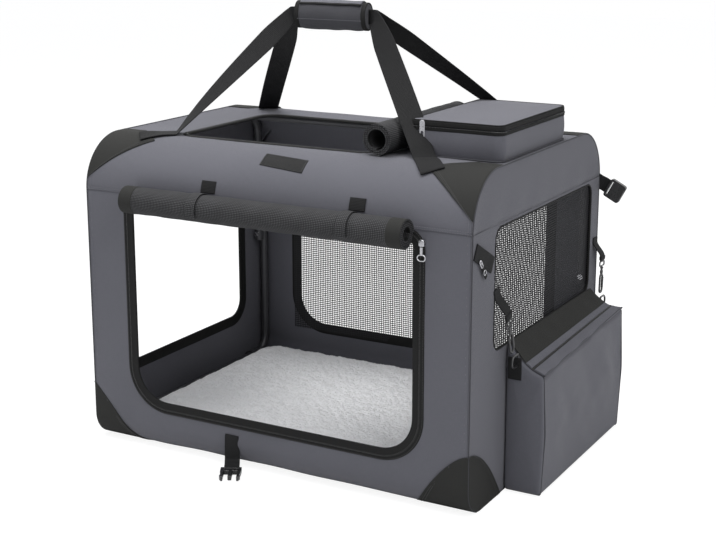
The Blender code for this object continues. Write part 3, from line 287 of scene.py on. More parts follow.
def rolled(name, dark, light, pitch):
    """Mesh in many layers: the product of two crossed waves, cubed, paints small
    highlights on the thread crossings over the dark mesh; noise varies their strength."""
    look = Look(name, "mesh", dark, 0.75, gloss=0.2)
    along, around, _ = look.parts(look.place())
    weave = ((along + around) * (TAU / pitch)).sine() * ((along - around) * (TAU / pitch)).sine()
    wear_and_glint = look.noise(look.place(), 30.0, 2.0)
    # Painted highlights: the light colour on the thread crossings, scaled by noise.
    look.put("Base Color", look.mix((weave * 0.5 + 0.5) ** 3.0 * (wear_and_glint * 0.8 + 0.5), dark, light))
    look.bump(weave, 0.0005, 0.7)
    return look


GREY = (0.093, 0.093, 0.109)
grey = woven("grey_cloth", "grey_cloth", GREY)
# The grip's own cloth is the grey darkened to 0.40: painted shade on its front and underside, below the top
# fold in plain grey.
grip_painted_shade_grey = woven("grip_cloth_painted_shade", "grey_cloth", shade(GREY, 0.40))
# The floor inside the crate gets the grey darkened to 0.75: painted shade.
floor_painted_shade_grey = woven("grey_cloth_inner_painted_shade", "grey_cloth", shade(GREY, 0.75))
black = woven("black_cloth", "black_cloth", (0.0190, 0.0190, 0.0178), 0.0012, 0.14, 0.0, 0.8, 0.22)
binding = ribbed("binding_tape", "black_cloth", (0.0105, 0.0105, 0.0105), 0.0018, 0.0)
label = woven("label_satin", "black_cloth", (0.0060, 0.0060, 0.0063), 0.0007, 0.10, 0.0, 0.5, 0.2)
webbing = ribbed("black_webbing", "webbing", (0.0125, 0.0125, 0.0130), 0.0022, 0.0)
# The rolled mesh is black; its light colour is painted highlight on the thread crossings.
mesh_roll_painted_glints = rolled("black_mesh_rolled_painted_glints", (0.011, 0.011, 0.012), (0.120, 0.120, 0.124), 0.0058)
window_net = netted("window_net", (0.020, 0.020, 0.022), 0.0078, 0.41)
thread = Look("thread", "grey_cloth", (0.135, 0.135, 0.155), 0.7)
dark_thread = Look("dark_thread", "black_cloth", (0.040, 0.040, 0.040), 0.7)
teeth = Look("zip_teeth", "plastic", (0.012, 0.012, 0.012), 0.35)

fleece = Look("white_fleece", "fleece", (0.96, 0.96, 0.96), 0.95, sheen=0.6)
fleece_at = fleece.place("Object")
curls = fleece.noise(fleece_at, 260.0, 4.0)
patches = fleece.noise(fleece_at, 38.0, 3.0)
fleece.put("Base Color", fleece.mix(curls * 0.6 + patches * 0.4, (0.80, 0.80, 0.82), (0.97, 0.97, 0.97)))
fleece.bump(curls, 0.003, 0.8)
print("cloth looks:", len(bpy.data.materials))

# %% [markdown]
# ## Metal and plastic looks
# The tubes have satin paint, the zip sliders and the small clip are bright
# metal, and hooks and buckles are glossy plastic. CAD nodes have no UV map, so
# these looks read Object coordinates.


# %% Hard looks
def hard(name, slot, colour, rough, metallic=0.0, coat=0.0, grain=400.0):
    """Fine noise moves the roughness a little and dents the surface by microns."""
    look = Look(name, slot, colour, rough, metallic, coat=coat)
    fine = look.noise(look.place("Object"), grain, 3.0)
    look.put("Roughness", fine * 0.18 + (rough - 0.09))
    look.put("Base Color", look.mix(fine, shade(colour, 0.88), shade(colour, 1.12)))
    look.bump(fine, 0.00008, 0.5)
    return look


paint = hard("painted_tube", "tube", (0.055, 0.055, 0.060), 0.42, 0.3)
bright = hard("bright_metal", "bright_metal", (0.46, 0.46, 0.48), 0.26, 1.0)
plastic = hard("black_plastic", "plastic", (0.014, 0.014, 0.015), 0.30, 0.0, 0.4)
print("hard looks made")

# %% [markdown]
# ## From arrays to a mesh
# A piece is a list of parts. Each part is an array of points, an array of
# faces, and the UV of each face corner. A grid of points gives its faces by
# index arithmetic. Parts are merged where they meet, faces are made to agree,
# and the flow out through them says if they have to be turned round.


# %% Mesh tools
def stack(*parts):
    """Numbers and arrays stretched to one shape and joined as coordinates."""
    return np.stack(np.broadcast_arrays(*parts), -1)


def unit(vectors):
    """Vectors over their own length."""
    return vectors / np.linalg.norm(vectors, axis=-1, keepdims=True)


def facing(direction, path):
    """One normal for every point of a path."""
    return np.tile(np.array(direction, float), (len(path), 1))


def grid(points, uv=None, around=False, closed=False, keep=None):
    """Cell (i, j) joins points i, i + 1 of two neighbouring rows. `around` joins the
    last row to the first, and `closed` joins the last column to the first."""
    rows, columns = points.shape[:2]
    i, j = np.meshgrid(
        np.arange(rows if around else rows - 1),
        np.arange(columns if closed else columns - 1), indexing="ij",
    )
    corners = [(i, j), (i + 1, j), (i + 1, j + 1), (i, j + 1)]
    faces = np.stack([(a % rows) * columns + b % columns for a, b in corners], -1).reshape(-1, 4)
    flat = points.reshape(-1, 3)
    maps = None
    if uv is not None:
        maps = np.stack([uv[a % len(uv), b % uv.shape[1]] for a, b in corners], 2)
        maps = maps.reshape(-1, 4, 2)
    if keep is not None:
        wanted = keep(flat[faces].mean(1))
        faces = faces[wanted]
        maps = maps[wanted] if maps is not None else None
    return flat, faces, maps


def lids(points):
    """The two faces that close a grid whose columns are closed."""
    rows, columns = points.shape[:2]
    first = np.arange(columns)[None, :]
    last = (rows - 1) * columns + first[:, ::-1]
    return points.reshape(-1, 3), np.concatenate([first, last]), None


def box_map(points, faces):
    """UV in metres: each face is seen along the axis that it faces most."""
    corners = points[faces]
    out = np.cross(corners[:, 1] - corners[:, 0], corners[:, 2] - corners[:, 0])
    axis = np.abs(out).argmax(1)
    pairs = np.array([(1, 2), (0, 2), (0, 1)])[axis]
    return np.take_along_axis(corners, pairs[:, None, :].repeat(faces.shape[1], 1), 2)


def mesh_from(name, parts):
    """Puts all parts into one mesh with foreach_set."""
    points = np.concatenate([p for p, _, _ in parts])
    loops, starts, maps, base, at = [], [], [], 0, 0
    for flat, faces, uv in parts:
        loops.append((faces + base).ravel())
        starts.append(at + np.arange(len(faces)) * faces.shape[1])
        maps.append((box_map(flat, faces) if uv is None else uv).reshape(-1, 2))
        base += len(flat)
        at += faces.size
    mesh = bpy.data.meshes.new(name)
    mesh.vertices.add(len(points))
    mesh.vertices.foreach_set("co", points.astype(np.float32).ravel())
    mesh.loops.add(at)
    mesh.loops.foreach_set("vertex_index", np.concatenate(loops).astype(np.int32))
    mesh.polygons.add(sum(len(s) for s in starts))
    mesh.polygons.foreach_set("loop_start", np.concatenate(starts).astype(np.int32))
    mesh.update(calc_edges=True)
    layer = mesh.uv_layers.new(name="UVMap")
    layer.data.foreach_set("uv", np.concatenate(maps).astype(np.float32).ravel())
    return mesh


def agree(mesh, away):
    """Merges doubles and makes faces point away from the point `away`: the sum of each
    face's area vector times its distance from there has to be positive."""
    shape = bmesh.new()
    shape.from_mesh(mesh)
    bmesh.ops.remove_doubles(shape, verts=shape.verts, dist=2e-6)
    bmesh.ops.recalc_face_normals(shape, faces=shape.faces)
    away = Vector(away) if away is not None else Vector()
    flow = sum((f.calc_center_median() - away).dot(f.normal) * f.calc_area() for f in shape.faces)
    if flow < 0:
        bmesh.ops.reverse_faces(shape, faces=shape.faces)
    shape.to_mesh(mesh)
    shape.free()


made = []


def shaped(name, parts, look, away=None, sharp=None):
    """An object of the parts, smooth but for edges sharper than `sharp` degrees."""
    mesh = mesh_from(name, parts)
    agree(mesh, away)
    mesh.materials.append(look.material)
    mesh.shade_smooth()
    if sharp:
        mesh.set_sharp_from_angle(angle=math.radians(sharp))
    made.append(name)
    return link(name, mesh)


def piece(name, parts, look, body, away=None, sharp=None, thick=0.0, replaces=(), folds=None):
    """A finished piece: its mesh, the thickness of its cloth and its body."""
    thing = shaped(name, parts, look, away, sharp)
    if thick:
        wall = thing.modifiers.new("thickness", "SOLIDIFY")
        wall.thickness = thick
        wall.offset = -1
    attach(thing, body)
    if folds:
        anchor, keep = FOLDS[folds]
        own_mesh(thing)
        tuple(anchor)
    if replaces:
        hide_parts(*replaces)
    return thing


# %% [markdown]
# ## Outlines and cloth unevenness
# Cloth is never flat. Sine waves with seeded directions add up to soft hills,
# and short waves that die away from a seam make its puckers.


# %% Outlines
def soft(p, q, seed, size, waves=9):
    """Smooth unevenness in -1 to 1: the sum of sine waves in seeded directions over the
    root of their count, each about `size` long."""
    draw = np.random.default_rng(seed)
    angle, phase = draw.uniform(0, TAU, waves), draw.uniform(0, TAU, waves)
    rate = TAU / (size * draw.uniform(0.6, 1.5, waves))
    total = sum(
        np.sin(k * (p * math.cos(a) + q * math.sin(a)) + s) for k, a, s in zip(rate, angle, phase)
    )
    return total / math.sqrt(waves) / 1.4


def even(points, count, closed=True):
    """The same line in `count` even steps, by interpolation over its length."""
    line = np.concatenate([points, points[:1]]) if closed else points
    run = np.concatenate([[0], np.cumsum(np.linalg.norm(np.diff(line, axis=0), axis=1))])
    at = np.linspace(0, run[-1], count, endpoint=not closed)
    return np.stack([np.interp(at, run, line[:, k]) for k in range(line.shape[1])], 1)


def rounded_path(low, high, radii, count):
    """A rectangle with its own radius at each corner, from low left round to the right."""
    centres = [
        (low[0] + radii[0], low[1] + radii[0]), (high[0] - radii[1], low[1] + radii[1]),
        (high[0] - radii[2], high[1] - radii[2]), (low[0] + radii[3], high[1] - radii[3]),
    ]
    arcs = []
    for n, centre in enumerate(centres):
        angle = np.linspace(0, math.pi / 2, 17) + math.pi + n * math.pi / 2
        arcs.append(np.array(centre) + radii[n] * stack(np.cos(angle), np.sin(angle)))
    return even(np.concatenate(arcs), count)


def reach(angles, centre, low, high, radii):
    """How far a rounded rectangle reaches from an inner point along each angle. The step
    is halved 40 times on the signed distance to the outline."""
    low, high = np.array(low), np.array(high)
    ray = stack(np.cos(angles), np.sin(angles))
    near, far = np.zeros(len(angles)), np.full(len(angles), 2.0)
    for _ in range(40):
        mid = (near + far) / 2
        p = np.array(centre) + ray * mid[:, None] - (low + high) / 2
        right, up = p[:, 0] > 0, p[:, 1] > 0
        radius = np.where(up, np.where(right, radii[2], radii[3]), np.where(right, radii[1], radii[0]))
        q = np.abs(p) - (high - low) / 2 + radius[:, None]
        gap = np.minimum(q.max(1), 0) + np.linalg.norm(np.maximum(q, 0), axis=1) - radius
        near, far = np.where(gap < 0, mid, near), np.where(gap < 0, far, mid)
    return near


def carry(path, normal, profile, closed=True, wide=1.0, deep=1.0, away=None):
    """A closed profile carried along a path. Its first number goes sideways, which is the
    path's direction crossed with the normal, and its second goes along the normal."""
    run = np.roll(path, -1, 0) - np.roll(path, 1, 0) if closed else np.gradient(path, axis=0)
    side = unit(np.cross(run, normal))
    if away is not None and (side * (path - np.array(away))).sum() < 0:
        side = -side
    wide, deep = np.broadcast_to(wide, len(path)), np.broadcast_to(deep, len(path))
    points = (
        path[:, None] + side[:, None] * (profile[None, :, 0] * wide[:, None])[..., None]
        + normal[:, None] * (profile[None, :, 1] * deep[:, None])[..., None]
    )
    steps = np.linalg.norm(np.diff(path, axis=0, append=path[:1] if closed else path[-1:]), axis=1)
    along = np.concatenate([[0], np.cumsum(steps)])
    rim = np.linalg.norm(np.diff(profile, axis=0, append=profile[:1]), axis=1)
    around = np.concatenate([[0], np.cumsum(rim)])
    uv = stack(along[:, None], around)
    parts = [grid(points, uv, around=closed, closed=True)]
    return parts if closed else parts + [lids(points)]


def oval(width, thick, sides=14, power=0.5, shift=(0, 0)):
    """A flat closed profile: sine and cosine raised to a power below one have full sides."""
    a = np.arange(sides) / sides * TAU + TAU / sides / 2
    c, s = np.cos(a), np.sin(a)
    x = np.sign(c) * np.abs(c) ** power * width / 2 + shift[0]
    return stack(x, np.sign(s) * np.abs(s) ** power * thick / 2 + shift[1])


def repeated(path, normal, pitch, length, width, thick, closed=True):
    """Pills along a path, `pitch` apart: one ring shape is copied to every place by an
    outer sum of the places and the shape in each place's own directions."""
    total = np.linalg.norm(np.diff(path, axis=0), axis=1).sum()
    count = max(int(total / pitch), 2)
    both = even(np.concatenate([path, normal], 1), count, closed)
    spot, out = both[:, :3], unit(both[:, 3:])
    run = np.gradient(spot, axis=0)
    run /= np.linalg.norm(run, axis=1)[:, None] + 1e-12
    side = np.cross(run, out)
    ring = np.arange(6) / 6 * TAU
    along = np.array([-0.5, -0.3, 0.3, 0.5]) * length
    size = np.array([0.45, 1.0, 1.0, 0.45])[:, None]
    shape = stack(along[:, None], size * np.cos(ring) * width / 2, size * np.sin(ring) * thick / 2)
    shape = shape.reshape(-1, 3)
    axes = np.stack([run, side, out], 1)
    points = (spot[:, None] + shape[None] @ axes).reshape(-1, 3)
    _, faces, _ = grid(shape.reshape(4, 6, 3), closed=True)
    _, ends, _ = lids(shape.reshape(4, 6, 3))
    step = (np.arange(count) * len(shape))[:, None, None]
    return [(points, (part + step).reshape(-1, part.shape[1]), None) for part in (faces, ends)]


print("helpers ready")

# %% [markdown]
# ## Where the cloth lies
# A wall's cloth is drawn flat first. A place function then bends it: the front
# and back walls follow the base's quarter circle, the roof follows its two
# bends, and the end walls are upright.


# %% Places
def on_side(side):
    """Front or back wall from x and h, the cloth's length above the floor's edge."""
    def place(flat, lift=0.0):
        """Points on this wall."""
        turn = np.clip(flat[..., 1] / BASE_R, 0, math.pi / 2)
        rise = np.maximum(flat[..., 1] - BASE_TURN, 0)
        y = SIDE_Y - BASE_R + (BASE_R + lift) * np.sin(turn)
        z = BASE_R - (BASE_R + lift) * np.cos(turn) + rise
        return stack(flat[..., 0], side * y, z)
    return place


def on_roof(flat, lift=0.0):
    """The roof from x and s, the cloth's length from the front seam over to the back one."""
    s = flat[..., 1]
    rise = np.clip(s / ROOF_R, 0, math.pi / 2)
    fall = np.clip((s - ROOF_TURN - 2 * ARC_Y) / ROOF_R, 0, math.pi / 2)
    run = np.clip(s - ROOF_TURN, 0, 2 * ARC_Y)
    y = -ARC_Y + run + (ROOF_R + lift) * (np.sin(fall) - np.cos(rise))
    z = SEAM_Z + (ROOF_R + lift) * (np.sin(rise) + np.cos(fall) - 1)
    return stack(flat[..., 0], y, z)


def on_end(side):
    """An end wall from y and z."""
    def place(flat, lift=0.0):
        """Points on this end."""
        return stack(side * (END_X + lift), flat[..., 0], flat[..., 1])
    return place


def line_on(place, flat, lift=0.0):
    """A line laid on a place, with its normals: the step from no lift to a small one."""
    low, high = place(flat, lift), place(flat, lift + 0.001)
    return low, (high - low) / 0.001


def panel(place, low, high, radii, hole, seed, depth=0.0010, count=440, rings=30):
    """Cloth between a hole and an outer edge. Rays leave the hole's middle, and a point lies
    a share of the way between the ray's two crossings. It is lifted by soft hills and, near
    both edges, by puckers that fade as the exponential of the distance."""
    centre = (np.array(hole[0]) + np.array(hole[1])) / 2
    corners = [
        math.atan2(b - centre[1], a - centre[0]) for a in (low[0], high[0]) for b in (low[1], high[1])
    ]
    angles = np.linspace(-math.pi, math.pi, count, endpoint=False)
    angles = np.unique(np.concatenate([angles, corners]))
    inner = reach(angles, centre, *hole)
    outer = reach(angles, centre, low, high, radii)
    share = (1 - np.cos(np.linspace(0, math.pi, rings))) / 2
    far = inner[:, None] + (outer - inner)[:, None] * share[None]
    flat = centre + stack(np.cos(angles)[:, None] * far, np.sin(angles)[:, None] * far)
    p, q = flat[..., 0], flat[..., 1]
    to_edge = np.minimum(far - inner[:, None], (outer[:, None] - far) + 0.004)
    hills = soft(p, q, seed, 0.17) * depth * (1 - np.exp(-to_edge / 0.02))
    along = angles[:, None] * 0.26
    pucker = soft(along * 6, along, seed + 1, 0.05) * 0.0007 * np.exp(-to_edge / 0.010)
    rest = np.clip((outer[:, None] - far) / 0.006, 0, 1)
    rest = rest * np.clip((far - inner[:, None]) / 0.003, 0, 1)
    return grid(place(flat, (hills + pucker) * rest), flat, around=True)


# %% [markdown]
# ## Walls
# Each wall is cut cloth with a doorway or a window, bound in black tape that is
# folded over the edge and sewn down.


# %% Walls
TAPE = oval(0.0105, 0.0046, 16, 0.5, (0.0042, -0.0012))
WIDE_TAPE = oval(0.0195, 0.0046, 20, 0.4, (0.0006, -0.0010))
THIN_TAPE = oval(0.0034, 0.0034, 12, 0.6, (0.0006, -0.0008))
ZIP_TOOTH = {"pitch": 0.0021, "length": 0.0013, "width": 0.0030, "thick": 0.0016}
STITCH = {"pitch": 0.0040, "length": 0.0028, "width": 0.0007, "thick": 0.0007}


def grown(low, high, radii, out):
    """A rounded rectangle moved outwards by the same distance everywhere."""
    low, high = (low[0] - out, low[1] - out), (high[0] + out, high[1] + out)
    return low, high, [max(r + out, 0.001) for r in radii]


def sewn_row(name, place, flat, lift, look, body, folds=None, closed=True, shape=STITCH):
    """Stitches or zip teeth in a row on a place."""
    row, out = line_on(place, flat, lift)
    piece(name, repeated(row, out, closed=closed, **shape), look, body, folds=folds)


def bound_edge(name, place, hole, body, folds, middle, zipped=False, tape=TAPE):
    """Folded tape round an opening, its stitches, and the zip's teeth where a door closes."""
    path, normal = line_on(place, rounded_path(*hole, 260))
    piece(f"{name}_binding", carry(path, normal, tape, away=middle), binding, body, folds=folds)
    outer = rounded_path(*grown(*hole, tape[:, 0].max() - 0.0018), 260)
    sewn_row(f"{name}_stitches", place, outer, 0.0013, dark_thread, body, folds)
    if zipped:
        outer = rounded_path(*grown(*hole, 0.0030), 320)
        sewn_row(f"{name}_zip_teeth", place, outer, 0.0012, teeth, body, folds, shape=ZIP_TOOTH)


def wall_piece(name, cloth):
    """One wall's cloth with its thickness, in place of the CAD wall."""
    piece(
        f"{name}_wall_cloth", [cloth], grey, "base", MIDDLE, thick=WALL_THICK,
        replaces=[f"{name}_wall"], folds="wall",
    )


SQUARE = (1e-4,) * 4
TURNED = BASE_TURN - BASE_R
side_hole = ((-DOOR_HALF, DOOR_LOW + TURNED), (DOOR_HALF, DOOR_HIGH + TURNED), DOOR_RADII)
side_top = SEAM_Z + TURNED - GAP / 2
for side, name in SIDES:
    place = on_side(side)
    cloth = panel(place, (-INNER_X, 0), (INNER_X, side_top), SQUARE, side_hole, 11 + side)
    wall_piece(name, cloth)
    middle = (0, side * SIDE_Y, 0.25)
    bound_edge(f"{name}_doorway", place, side_hole, "base", "wall", middle, side < 0, WIDE_TAPE)

end_holes = {
    "left": ((-0.190, 0.100), (0.190, 0.428), (0.040,) * 4),
    "right": ((-0.178, 0.240), (0.222, 0.428), (0.018,) * 4),
}
for side, name in ENDS:
    place, hole = on_end(side), end_holes[name]
    low, high = (-SIDE_Y, 0), (SIDE_Y, SEAM_Z - GAP / 2)
    wall_piece(name, panel(place, low, high, (BASE_R, BASE_R, *SQUARE[:2]), hole, 31 + side))
    middle = (side * END_X, 0, 0.26)
    tape = WIDE_TAPE if side < 0 else THIN_TAPE
    bound_edge(f"{name}_opening", place, hole, "base", "wall", middle, side < 0, tape)
print(len(made), "pieces so far")

# %% [markdown]
# ## Roof
# One cloth runs over both bends. Its ends are closed by half-moon pieces above
# the end walls. They belong to the roof's body.

# %% Roof cloth
hatch = ((-0.228, ROOF_TURN + ARC_Y - 0.160), (0.135, ROOF_TURN + ARC_Y + 0.105), (0.030,) * 4)
low, high = (-INNER_X, GAP / 2), (INNER_X, ROOF_RUN - GAP / 2)
roof = panel(on_roof, low, high, SQUARE, hatch, 51, 0.0009, 560, 44)
piece("roof_cloth", [roof], grey, "roof", MIDDLE, thick=0.0022, replaces=["roof_cover"], folds="roof")
bound_edge("hatch", on_roof, hatch, "roof", "roof", (0, 0, TOP), True)


def end_arch(side):
    """The half moon above an end wall. Height is the sine and half width the cosine of one
    angle, and u runs from front to back across it."""
    angle = np.linspace(0, math.pi / 2, 22)[None, :]
    u = np.linspace(-1, 1, 120)[:, None]
    y = u * (ARC_Y + ROOF_R * np.cos(angle))
    z = SEAM_Z + GAP / 2 + (ROOF_R - GAP) * np.sin(angle) * np.ones_like(u)
    flat = stack(y, z)
    rest = np.clip((1 - np.abs(u)) / 0.06, 0, 1) * np.cos(angle)
    return grid(on_end(side)(flat, soft(y, z, 61 + side, 0.12) * 0.0009 * rest), flat)


for side, name in ENDS:
    arch = [end_arch(side)]
    piece(f"{name}_arch_cloth", arch, grey, "roof", (0, 0, 0.4), thick=WALL_THICK, folds="roof")

# %% [markdown]
# ## Piping and seams
# Along both ends the cloth pieces are joined over a thin dark cord, a welt. The
# part above the seam rides with the roof, and the part below with the base.


# %% Piping
def end_line(side, upper):
    """The crate's outline at one end: over the roof, or down and under the base."""
    if upper:
        return line_on(on_roof, stack(side * END_X, np.linspace(0, ROOF_RUN, 150)))
    flat = stack(side * END_X, np.linspace(side_top, 0, 70))
    front, front_out = line_on(on_side(-1), flat)
    back, back_out = line_on(on_side(1), flat[::-1])
    return np.concatenate([front, back]), np.concatenate([front_out, back_out])


piping = woven("dark_piping", "grey_cloth", shade(GREY, 0.42), 0.0012, 0.08, 0.05)
for side, name in ENDS:
    for word, body in (("roof", "roof"), ("wall", "base")):
        path, normal = end_line(side, word == "roof")
        path[:, 2] = np.maximum(path[:, 2], 0.0012)
        welt = carry(path, normal, oval(0.0022, 0.0022, 8, 1.0), closed=False)
        piece(f"{name}_{word}_piping", welt, piping, body, folds=word)
        inset = path - np.array([side * 0.0075, 0, 0]) + normal * 0.0002
        row = repeated(inset, normal, closed=False, **STITCH)
        piece(f"{name}_{word}_piping_stitches", row, thread, body, folds=word)

# %% [markdown]
# Over the doors the roof's hem is a low fold with a row of stitches on each side.

# %% Seam over the doors
x = np.linspace(-INNER_X, INNER_X, 120)
for side, name in SIDES:
    run = GAP if side < 0 else ROOF_RUN - GAP
    path, normal = line_on(on_roof, stack(x, run - side * 0.0035), 0.0004)
    fold = carry(path, normal, oval(0.0034, 0.0012, 10), closed=False)
    piece(f"{name}_seam_fold", fold, grey, "roof", folds="roof")
    for n, drop in enumerate((0.0018, 0.0052)):
        at = stack(x, run - side * drop)
        sewn_row(f"{name}_seam_stitches_{n}", on_roof, at, 0.0010, thread, "roof", "roof", False)
print(len(made), "pieces so far")

# %% [markdown]
# ## Black corner patches
# The corners are doubled in black cloth, cut on the slant and sewn round their
# edges. They are thin skins that lie on the grey cloth.


# %% Corner patches
def roof_patch(end, side):
    """Across the bend, u goes from the seam up to the flat. The patch reaches from the end
    edge to a length that grows with u and shrinks again on the flat."""
    start, widest, stop = 0.246 * ROOF_R, 1.22 * ROOF_R, ROOF_TURN + 0.020
    s = np.linspace(start, stop, 46)[:, None]
    grow = np.interp(s, [start, widest, stop], [0.0015, 0.100, 0.045])
    v = np.linspace(0, 1, 26)[None, :]
    x = end * (END_X - 0.0004 - grow * v)
    run = s * np.ones_like(v)
    flat = stack(x, run if side < 0 else ROOF_RUN - run)
    lift = 0.0013 + soft(x, run, 71, 0.05) * 0.0002
    return grid(on_roof(flat, lift), flat), on_roof, flat


PATCH_DOME = {-1: 0.90, 1: 0.62}


def base_patch(end, side):
    """On the wall: none at the top and full reach at the floor. The share of the way down
    is raised to a power below one, which rounds the patch's top."""
    top = 0.100 - BASE_R + BASE_TURN
    h = top - (top - 0.0115) * np.linspace(0, 1, 60)[:, None] ** 1.6
    v = np.linspace(0, 1, 26)[None, :]
    x = end * (END_X + 0.0003 - 0.108 * (1 - h / top) ** PATCH_DOME[end] * v)
    flat = stack(x, h)
    return grid(on_side(side)(flat, 0.0013), flat), on_side(side), flat


def base_patch_end(end, side):
    """On the end wall: a curved triangle between the corner's edge and the floor."""
    u = 1 - np.linspace(1, 0, 60)[:, None] ** 1.6
    v = np.linspace(0, 1, 26)[None, :]
    z = 0.0004 + 0.0996 * u * np.ones_like(v)
    bend = np.sqrt(np.maximum(BASE_R ** 2 - np.maximum(BASE_R - z, 0) ** 2, 0))
    outer = SIDE_Y - BASE_R + bend
    inner = SIDE_Y - 0.118 * (1 - u) ** 0.55
    y = outer + (np.minimum(inner, outer) - outer) * v
    flat = stack(side * y, z)
    return grid(on_end(end)(flat, 0.0013), flat), on_end(end), flat


for end, end_name in ENDS:
    for side, side_name in SIDES:
        name = f"{side_name}_{end_name}"
        for word, shape, folds, node in (
            (f"roof_patch_{name}", roof_patch, "roof", True),
            (f"base_patch_{name}", base_patch, "wall", True),
            (f"base_patch_end_{name}", base_patch_end, "wall", False),
        ):
            skin, place, flat = shape(end, side)
            body = "roof" if folds == "roof" else "base"
            cloth_name = word.replace("patch", "patch_cloth") if node else word
            piece(
                cloth_name, [skin], black, body, MIDDLE, thick=SKIN_THICK,
                replaces=[word] if node else (), folds=folds,
            )
            for n, back in enumerate((3, 5)):
                row = flat[:, -1] * (1 - back / 40) + flat[:, 0] * back / 40
                sewn_row(f"{word}_stitches_{n}", place, row, 0.0016, dark_thread, body, folds, False)
print(len(made), "pieces so far")

# %% [markdown]
# ## Label patch
# The front bend carries a black satin patch. It is bare here: only its weave
# and the stitches round its edge are kept.

# %% Label patch
LABEL_LOW, LABEL_HIGH, LABEL_SLANT, LABEL_HEM = (-0.028, 0.0730), (0.052, 0.0995), -0.09, 0.0015


def slanted(flat):
    """The label is sewn a little aslant: it sinks in proportion to x."""
    return flat + stack(0, (flat[..., 0] - LABEL_LOW[0]) * LABEL_SLANT)


u, v = (np.linspace(LABEL_LOW[k], LABEL_HIGH[k], count) for k, count in ((0, 60), (1, 24)))
flat = slanted(stack(u[:, None], v))
patch = [grid(on_roof(flat, 0.0012), flat)]
piece("label_patch", patch, label, "roof", MIDDLE, thick=SKIN_THICK, folds="roof")
hem = slanted(rounded_path(*grown(LABEL_LOW, LABEL_HIGH, (0.003,) * 4, -LABEL_HEM), 200))
sewn_row("label_stitches", on_roof, hem, 0.0013, dark_thread, "roof", "roof")

# %% [markdown]
# ## Mesh windows
# The back wall and the right end have windows of black knitted mesh, sewn
# behind the cloth. The holes are cut by the look's alpha.

# %% Windows
u, v = np.linspace(-0.270, 0.270, 60)[:, None], np.linspace(0.073, 0.431, 40)
y = SIDE_Y - CLOTH - GAP - 0.0006 + soft(u, v, 81, 0.2) * 0.0004
back = grid(stack(u, y, v), stack(u, v))
u, v = np.linspace(-0.183, 0.227, 50)[:, None], np.linspace(0.095, 0.433, 40)
x = INNER_X - 0.0006 + soft(u, v, 82, 0.2) * 0.0004
right = grid(stack(x, u, v), stack(u, v))
for name, net in (("back", back), ("right", right)):
    piece(f"{name}_window_mesh", [net], window_net, "base", MIDDLE, replaces=[f"{name}_net"], folds="wall")

# %% [markdown]
# ## Rolled doors
# A rolled door is one sheet of mesh wound three times. Its end view is a spiral:
# the radius falls steadily with the angle, and the middle stays open. The
# sheet's own border lies round both ends of the front roll as a plain band.


# %% Rolled doors
TURNS = 3


def laid(axis, along, a, b):
    """Coordinates of a roll that lies along X or along Y."""
    return stack(along, a, b) if axis == "x" else stack(a, along, b)


def wound(axis, at, length, radius, start_deg, core):
    """A spiral profile, out along the sheet's outer side and back along its inner side,
    carried along the roll. Slow waves along the roll make it a little uneven."""
    steps, gap = 40, 0.0009
    pitch = (radius - core) / TURNS
    t = np.arange(TURNS * steps + 1) / steps
    spin = TAU * t + math.radians(start_deg)
    outer = radius - pitch * t
    inner = outer - (pitch - gap)
    along = np.linspace(-length / 2, length / 2, 90)
    squeeze = 0.98 + soft(along, 0 * along, 91, 0.16) * 0.018
    ripple = 1 + 0.02 * soft(along[:, None], spin[None, :] * radius, 92, 0.05)
    points = []
    for size in (outer, inner):
        r = size[None] * squeeze[:, None] * np.minimum(ripple, 1.01)
        points.append(laid(axis, along[:, None], r * np.cos(spin), r * np.sin(spin)) + np.array(at))
    ring = np.concatenate([points[0], points[1][:, ::-1]], 1)
    run = np.concatenate([spin * radius, spin[::-1] * radius, [0]])
    uv = stack(along[:, None], run)
    caps = [grid(np.stack([points[0][n], points[1][n]], 1)) for n in (0, -1)]
    return [grid(ring, uv, closed=True)] + caps


def roll_tape(axis, at, radius, start_deg, core, end, turns, profile, out):
    """Tape on the sheet's end: a small oval carried along the same spiral."""
    t = np.linspace(0, turns, 150)
    spin = TAU * t + math.radians(start_deg)
    r = radius * 0.985 - (radius - core) / TURNS * t + out
    c, s = np.cos(spin), np.sin(spin)
    path = laid(axis, end, r * c, r * s) + np.array(at)
    return carry(path, laid(axis, 0, c, s), profile, closed=False)


ROLL_Z = SEAM_Z - 0.003
FRONT_R, LEFT_R, TOP_R = 0.024, 0.020, 0.026
FRONT_ROLL = (0.004, -SIDE_Y - GAP - FRONT_R, ROLL_Z)
LEFT_ROLL = (-END_X - GAP - LEFT_R, 0, ROLL_Z)
ROOF_ROLL = (0.151, (0.105 - 0.182) / 2, TOP + GAP + TOP_R)
TIES = (-0.108, 0.160)
rolls = {
    "front_door_roll": ("x", FRONT_ROLL, 0.506, FRONT_R, 0, 0.012),
    "left_door_roll": ("y", LEFT_ROLL, 0.380, LEFT_R, 0, 0.010),
    "roof_door_roll": ("y", ROOF_ROLL, 0.287, TOP_R, 270, 0.0165),
}
BAND = 0.0245
for name, (axis, at, length, radius, turn, core) in rolls.items():
    parts = wound(axis, at, length, radius, turn, core)
    # The rolled mesh carries painted highlights on its thread crossings.
    piece(f"{name}_mesh", parts, mesh_roll_painted_glints, "roof", at, sharp=50, replaces=[name])
    rim, wide = oval(0.0060, (radius - core) / TURNS * 0.9, 10), oval(BAND, 0.0011, 18, 0.3)
    for n, sign in enumerate((-1, 1)):
        end = sign * (length / 2 - 0.0031)
        tape = roll_tape(axis, at, radius, turn, core, end, 2.9, rim, -0.0014)
        piece(f"{name}_end_tape_{n}", tape, binding, "roof", at)
        if name == "front_door_roll":
            end = sign * (length / 2 - BAND / 2)
            band = roll_tape(axis, at, radius, turn, core, end, 0.97, wide, -0.0001)
            piece(f"{name}_band_{n}", band, black, "roof", at)


# %% [markdown]
# ## Ties
# Two webbing tabs are sewn above the seam. A soft band of mesh hangs from each
# and goes round the rolled door, so only the tab shows from a step away.


